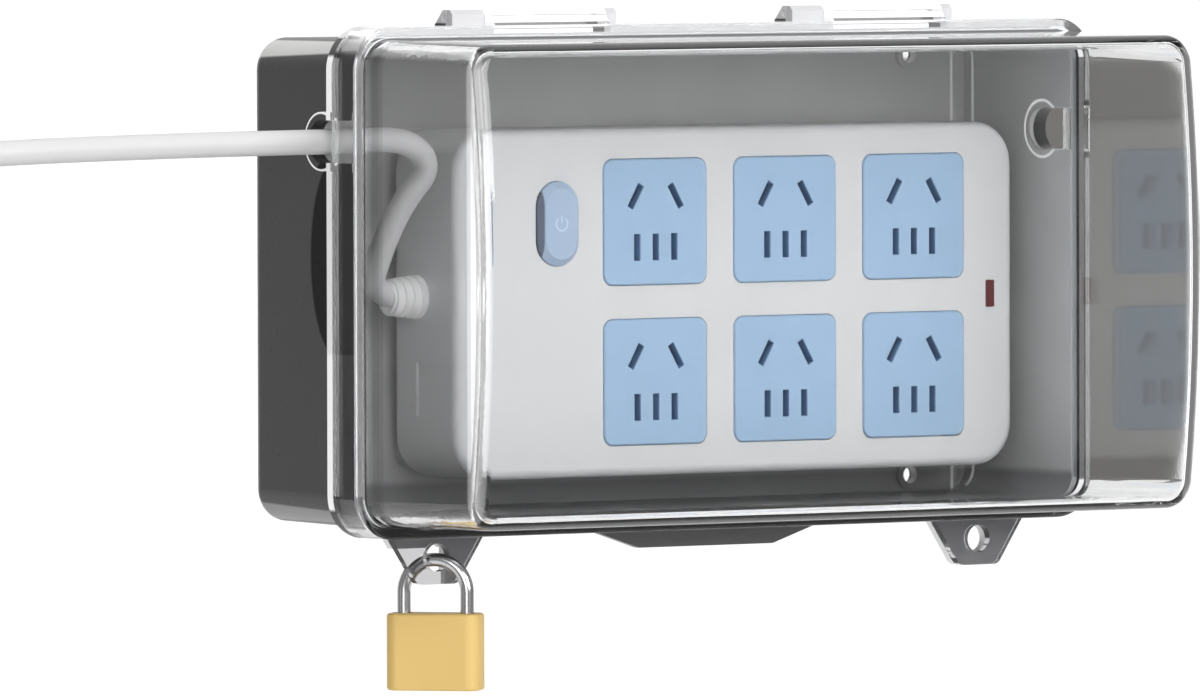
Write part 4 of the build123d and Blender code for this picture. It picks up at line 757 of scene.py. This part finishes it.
@dataclass
class MainsLead:
    """The free lead: the seen stretch, the put-away coil and the tail to the plug, as one curve."""

    diameter: float = 7.0
    exit_x: float = -88.0
    layers: int = 4
    layer_pitch: float = 7.6
    outer: float = 41.6
    radial_pitch: float = 8.7
    turns: float = 7.25
    flat_turns: float = 1.5
    points_per_turn: int = 16
    round_steps: int = 6
    line_steps: int = 8
    length: float = 1.87
    route: list[Point] = field(default_factory=lambda: [
        (-79.5, 16.8, -5.3), (-94.7, 16.8, -5.3), (-95.0, 24.5, 8.5), (-92.3, 31.0, 21.5),
        (-86.8, 37.8, 31.8), (-96.5, 39.4, 39.6), (-116.0, 39.3, 39.0), (-150.0, 39.5, 38.9),
        (-196.0, 39.3, 38.3), (-238.0, 39.0, 37.3), (-257.0, 28.6, 35.0), (-270.0, 28.6, 35.0)])
    plug_depth: float = 12.4
    tail_drops: Point = (12.0, 30.0, 42.0)

    @property
    def coil_x(self) -> float:
        """X of the coil's middle in millimetres."""
        return self.route[-1][0] - self.diameter

    @property
    def coil_z(self) -> float:
        """Z of the coil's middle in millimetres."""
        return self.route[-1][2] - self.outer

    def coil_point(self, turn: float) -> Point:
        """Centre line of the coil.

        Args:
            turn: Turns from the coil's start.

        Returns:
            X, depth and Z in millimetres.
        """
        layer = min(int(turn / 2), self.layers - 1)
        within = turn - 2 * layer
        swept = min(within, self.flat_turns) * self.radial_pitch
        inner = self.outer - self.flat_turns * self.radial_pitch
        radius = self.outer - swept if layer % 2 == 0 else inner + swept
        climb = max(0.0, within - self.flat_turns) * 2
        eased = (1 - math.cos(math.pi * climb)) / 2
        depth = self.route[-1][1] - self.layer_pitch * (layer + eased)
        angle = math.pi / 2 + 2 * math.pi * turn
        return (self.coil_x + radius * math.cos(angle), depth, self.coil_z + radius * math.sin(angle))

    def line(self) -> list[Point]:
        """All control points, from inside the boot to the plug.

        Returns:
            X, depth and Z of each point in millimetres.
        """
        steps = int(self.turns * self.points_per_turn)
        coil = [self.coil_point(step / self.points_per_turn) for step in range(steps + 1)]
        x, depth, z = coil[-1]
        start = z - self.diameter
        straight, bent, end = self.tail_drops
        tail = [(x, depth, start), (x, depth, start - straight), (x, self.plug_depth, start - bent),
                (x, self.plug_depth, start - end)]
        return self.route + coil + tail

    def build(self) -> bpy.types.Object:
        """Returns:
            The curve object.
        """
        curve = bpy.data.curves.new("mains_lead", "CURVE")
        curve.dimensions = "3D"
        curve.bevel_depth = self.diameter / 2 * MM
        curve.bevel_resolution = self.round_steps
        curve.resolution_u = self.line_steps
        curve.use_fill_caps = True
        points = self.line()
        spline = curve.splines.new("NURBS")
        spline.points.add(len(points) - 1)
        for target, (x, depth, z) in zip(spline.points, points):
            target.co = (x * MM, -depth * MM, z * MM, 1.0)
        spline.order_u = 3
        spline.use_endpoint_u = True
        lead = bpy.data.objects.new("mains_lead", curve)
        bpy.context.scene.collection.objects.link(lead)
        CORD_WHITE.dress(lead)
        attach(lead, Body.TRAY.value)
        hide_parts("cord_lead", "cord_coil", "cord_tail")
        return lead


@dataclass(frozen=True)
class PowerMark:
    """Plain power sign, raised a hair on the button's face."""

    x: float = -45.5
    depth: float = 38.8
    z: float = 14.875
    radius: float = 1.9
    line: float = 0.42
    raised: float = 0.05
    gap_degrees: float = 34.0
    bar_middle: float = 1.3
    bar_length: float = 2.0
    steps: int = 48

    def in_gap(self, centre: Vector) -> bool:
        """Tells whether a face of the ring lies in the gap at the top.

        Args:
            centre: The face's middle in metres.

        Returns:
            True for a face that goes.
        """
        across = centre.x - self.x * MM
        above = centre.z - self.z * MM
        return abs(math.atan2(across, above)) < math.radians(self.gap_degrees)

    def build(self) -> bpy.types.Object:
        """Makes the sign: a ring cut open at the top and a short bar in the gap.

        Returns:
            The mesh object.
        """
        place = Vector((self.x, -self.depth, self.z)) * MM
        inner = self.radius - self.line / 2
        wider = (self.radius + self.line / 2) / inner
        bpy.ops.object.select_all(action="DESELECT")
        bpy.ops.mesh.primitive_circle_add(vertices=self.steps, radius=inner * MM, location=place,
                                          rotation=(math.pi / 2, 0.0, 0.0))
        mark = bpy.context.active_object
        mark.name = mark.data.name = "power_mark"
        bpy.ops.object.transform_apply(location=True, rotation=True, scale=True)
        bpy.ops.object.mode_set(mode="EDIT")
        bpy.ops.mesh.select_all(action="SELECT")
        bpy.ops.mesh.extrude_edges_move()
        bpy.ops.transform.resize(value=(wider, 1.0, wider), center_override=place)
        bpy.ops.object.mode_set(mode="OBJECT")
        deselect(mark.data)
        for face in mark.data.polygons:
            face.select = self.in_gap(face.center)
        bpy.ops.object.mode_set(mode="EDIT")
        bpy.ops.mesh.select_mode(type="FACE")
        bpy.ops.mesh.delete(type="FACE")
        middle = place + Vector((0.0, 0.0, self.bar_middle * MM))
        bpy.ops.mesh.primitive_plane_add(size=self.line * MM, location=middle,
                                         rotation=(math.pi / 2, 0.0, 0.0))
        bpy.ops.transform.resize(value=(1.0, 1.0, self.bar_length / self.line), center_override=middle)
        bpy.ops.mesh.select_all(action="SELECT")
        bpy.ops.mesh.normals_make_consistent(inside=False)
        bpy.ops.object.mode_set(mode="OBJECT")
        thick = mark.modifiers.new("thick", "SOLIDIFY")
        thick.thickness = 2 * self.raised * MM
        thick.offset = 0.0
        bpy.ops.object.modifier_apply(modifier=thick.name)
        MARK_BLUE.dress(mark)
        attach(mark, Body.BUTTON.value)
        return mark


@dataclass(frozen=True)
class SoftLight:
    """One soft area light that faces the box."""

    name: str
    place: Point
    size: tuple[float, float]
    power: float
    aim: Point = (0.0, -0.05, 0.0)

    def build(self) -> None:
        """Hangs the light and turns it to its aim."""
        data = bpy.data.lights.new(self.name, "AREA")
        data.shape = "RECTANGLE"
        data.size, data.size_y = self.size
        data.energy = self.power
        lamp = bpy.data.objects.new(self.name, data)
        lamp.location = self.place
        lamp.rotation_euler = (Vector(self.aim) - Vector(self.place)).to_track_quat("-Z", "Y").to_euler()
        bpy.context.scene.collection.objects.link(lamp)


@dataclass(frozen=True)
class Studio:
    """Camera, soft lights, world and the pale stage."""

    azimuth: float = -34.9955
    elevation: float = 1.9883
    roll: float = -0.151
    distance: float = 4.6662
    lens: float = 499.65
    sensor: float = 36.0
    far: float = 50.0
    aim_right: float = -0.03147
    aim_up: float = -0.02063
    aim: Point = (0.0, -0.048, 0.0)
    floor_z: float = -0.30
    front_y: float = -0.5
    back_y: float = 1.6
    stage_x: tuple[float, float] = (-0.9, 3.2)
    stage_top: float = 4.0
    sweep_radius: float = 0.6
    sweep_steps: int = 9
    surround: float = 0.30
    lights: tuple[SoftLight, ...] = (
        SoftLight("key_soft", (0.3, -2.7, 0.8), (1.6, 1.2), 56.0),
        SoftLight("left_fill", (-1.9, -2.2, 0.5), (1.0, 1.6), 26.0),
        SoftLight("top_soft", (-0.2, -0.4, 1.6), (1.8, 1.0), 14.0))

    def axes(self) -> tuple[Vector, Vector, Vector]:
        """Right, up and backward directions of the camera.

        Returns:
            Three unit vectors.
        """
        azimuth = math.radians(self.azimuth)
        elevation = math.radians(self.elevation)
        roll = math.radians(self.roll)
        back = Vector((math.sin(azimuth) * math.cos(elevation), -math.cos(azimuth) * math.cos(elevation),
                       math.sin(elevation)))
        right = Vector((math.cos(azimuth), math.sin(azimuth), 0.0))
        up = back.cross(right)
        return (right * math.cos(roll) + up * math.sin(roll),
                up * math.cos(roll) - right * math.sin(roll), back)

    def camera(self) -> bpy.types.Object:
        """Places the camera at the photograph's viewpoint.

        Returns:
            The camera object.
        """
        right, up, back = self.axes()
        data = bpy.data.cameras.new("photo_camera")
        data.lens = self.lens
        data.sensor_width = self.sensor
        data.clip_end = self.far
        camera = bpy.data.objects.new("photo_camera", data)
        place = Vector(self.aim) + right * self.aim_right + up * self.aim_up + back * self.distance
        turn = Matrix((right, up, back)).transposed().to_4x4()
        camera.matrix_world = Matrix.Translation(place) @ turn
        bpy.context.scene.collection.objects.link(camera)
        bpy.context.scene.camera = camera
        return camera

    def stage(self) -> None:
        """Adds the pale floor that sweeps up into a backdrop."""
        left, right = self.stage_x
        front = self.back_y - self.sweep_radius
        middle = Vector(((left + right) / 2, (self.front_y + front) / 2, self.floor_z))
        bpy.ops.object.select_all(action="DESELECT")
        bpy.ops.mesh.primitive_plane_add(size=1.0, location=middle)
        sweep = bpy.context.active_object
        sweep.name = sweep.data.name = "pale_sweep"
        sweep.scale = (right - left, front - self.front_y, 1.0)
        bpy.ops.object.transform_apply(location=True, rotation=True, scale=True)
        deselect(sweep.data)
        for edge in sweep.data.edges:
            edge.select = all(sweep.data.vertices[index].co.y > front - MM for index in edge.vertices)
        for vertex in sweep.data.vertices:
            vertex.select = vertex.co.y > front - MM
        bpy.ops.object.mode_set(mode="EDIT")
        bpy.ops.mesh.select_mode(type="EDGE")
        last = (0.0, 0.0)
        for step in range(1, self.sweep_steps + 1):
            angle = math.pi / 2 * step / self.sweep_steps
            point = (self.sweep_radius * math.sin(angle), self.sweep_radius * (1 - math.cos(angle)))
            bpy.ops.mesh.extrude_edges_move(
                TRANSFORM_OT_translate={"value": (0.0, point[0] - last[0], point[1] - last[1])})
            last = point
        bpy.ops.mesh.extrude_edges_move(
            TRANSFORM_OT_translate={"value": (0.0, 0.0, self.stage_top - self.floor_z - self.sweep_radius)})
        bpy.ops.object.mode_set(mode="OBJECT")
        bpy.ops.object.shade_smooth()
        Finish("pale_sweep", (0.93, 0.93, 0.93), 0.9, scale=60.0, tint=0.01, bump=0.0,
               zones=StageZones()).dress(sweep)

    def world(self) -> None:
        """Even, faint white light from all round."""
        world = bpy.data.worlds.new("studio_white")
        bpy.context.scene.world = world
        world.use_nodes = True
        background = world.node_tree.nodes["Background"]
        background.inputs["Color"].default_value = (1.0, 1.0, 1.0, 1.0)
        background.inputs["Strength"].default_value = self.surround

    def build(self) -> None:
        """Makes the camera, stage, world and lights."""
        self.camera()
        self.stage()
        self.world()
        for light in self.lights:
            light.build()
        bpy.context.scene.view_settings.view_transform = "Standard"


@dataclass
class BoxScene:
    """The whole scene, from frame to finish."""

    studio: Studio = field(default_factory=Studio)
    lead: MainsLead = field(default_factory=MainsLead)
    mark: PowerMark = field(default_factory=PowerMark)

    def dress_nodes(self) -> None:
        """Gives every CAD node that stays its finish."""
        for name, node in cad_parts.items():
            finish = PALE_BLUE if name.startswith("outlet_module") else NODE_FINISHES.get(name)
            if finish:
                finish.dress(node)
                LOG.info("dressed %s in %s", name, finish.name)

    def build(self) -> list[bpy.types.Object]:
        """Builds everything in order.

        Returns:
            The new pieces.
        """
        self.studio.build()
        lead = self.lead.build()
        self.dress_nodes()
        return [lead, self.mark.build()]


def main() -> None:
    """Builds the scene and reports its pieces."""
    logging.basicConfig(level=logging.INFO)
    for piece in BoxScene().build():
        LOG.info("built %s", piece.name)


if __name__ == "__main__":
    main()
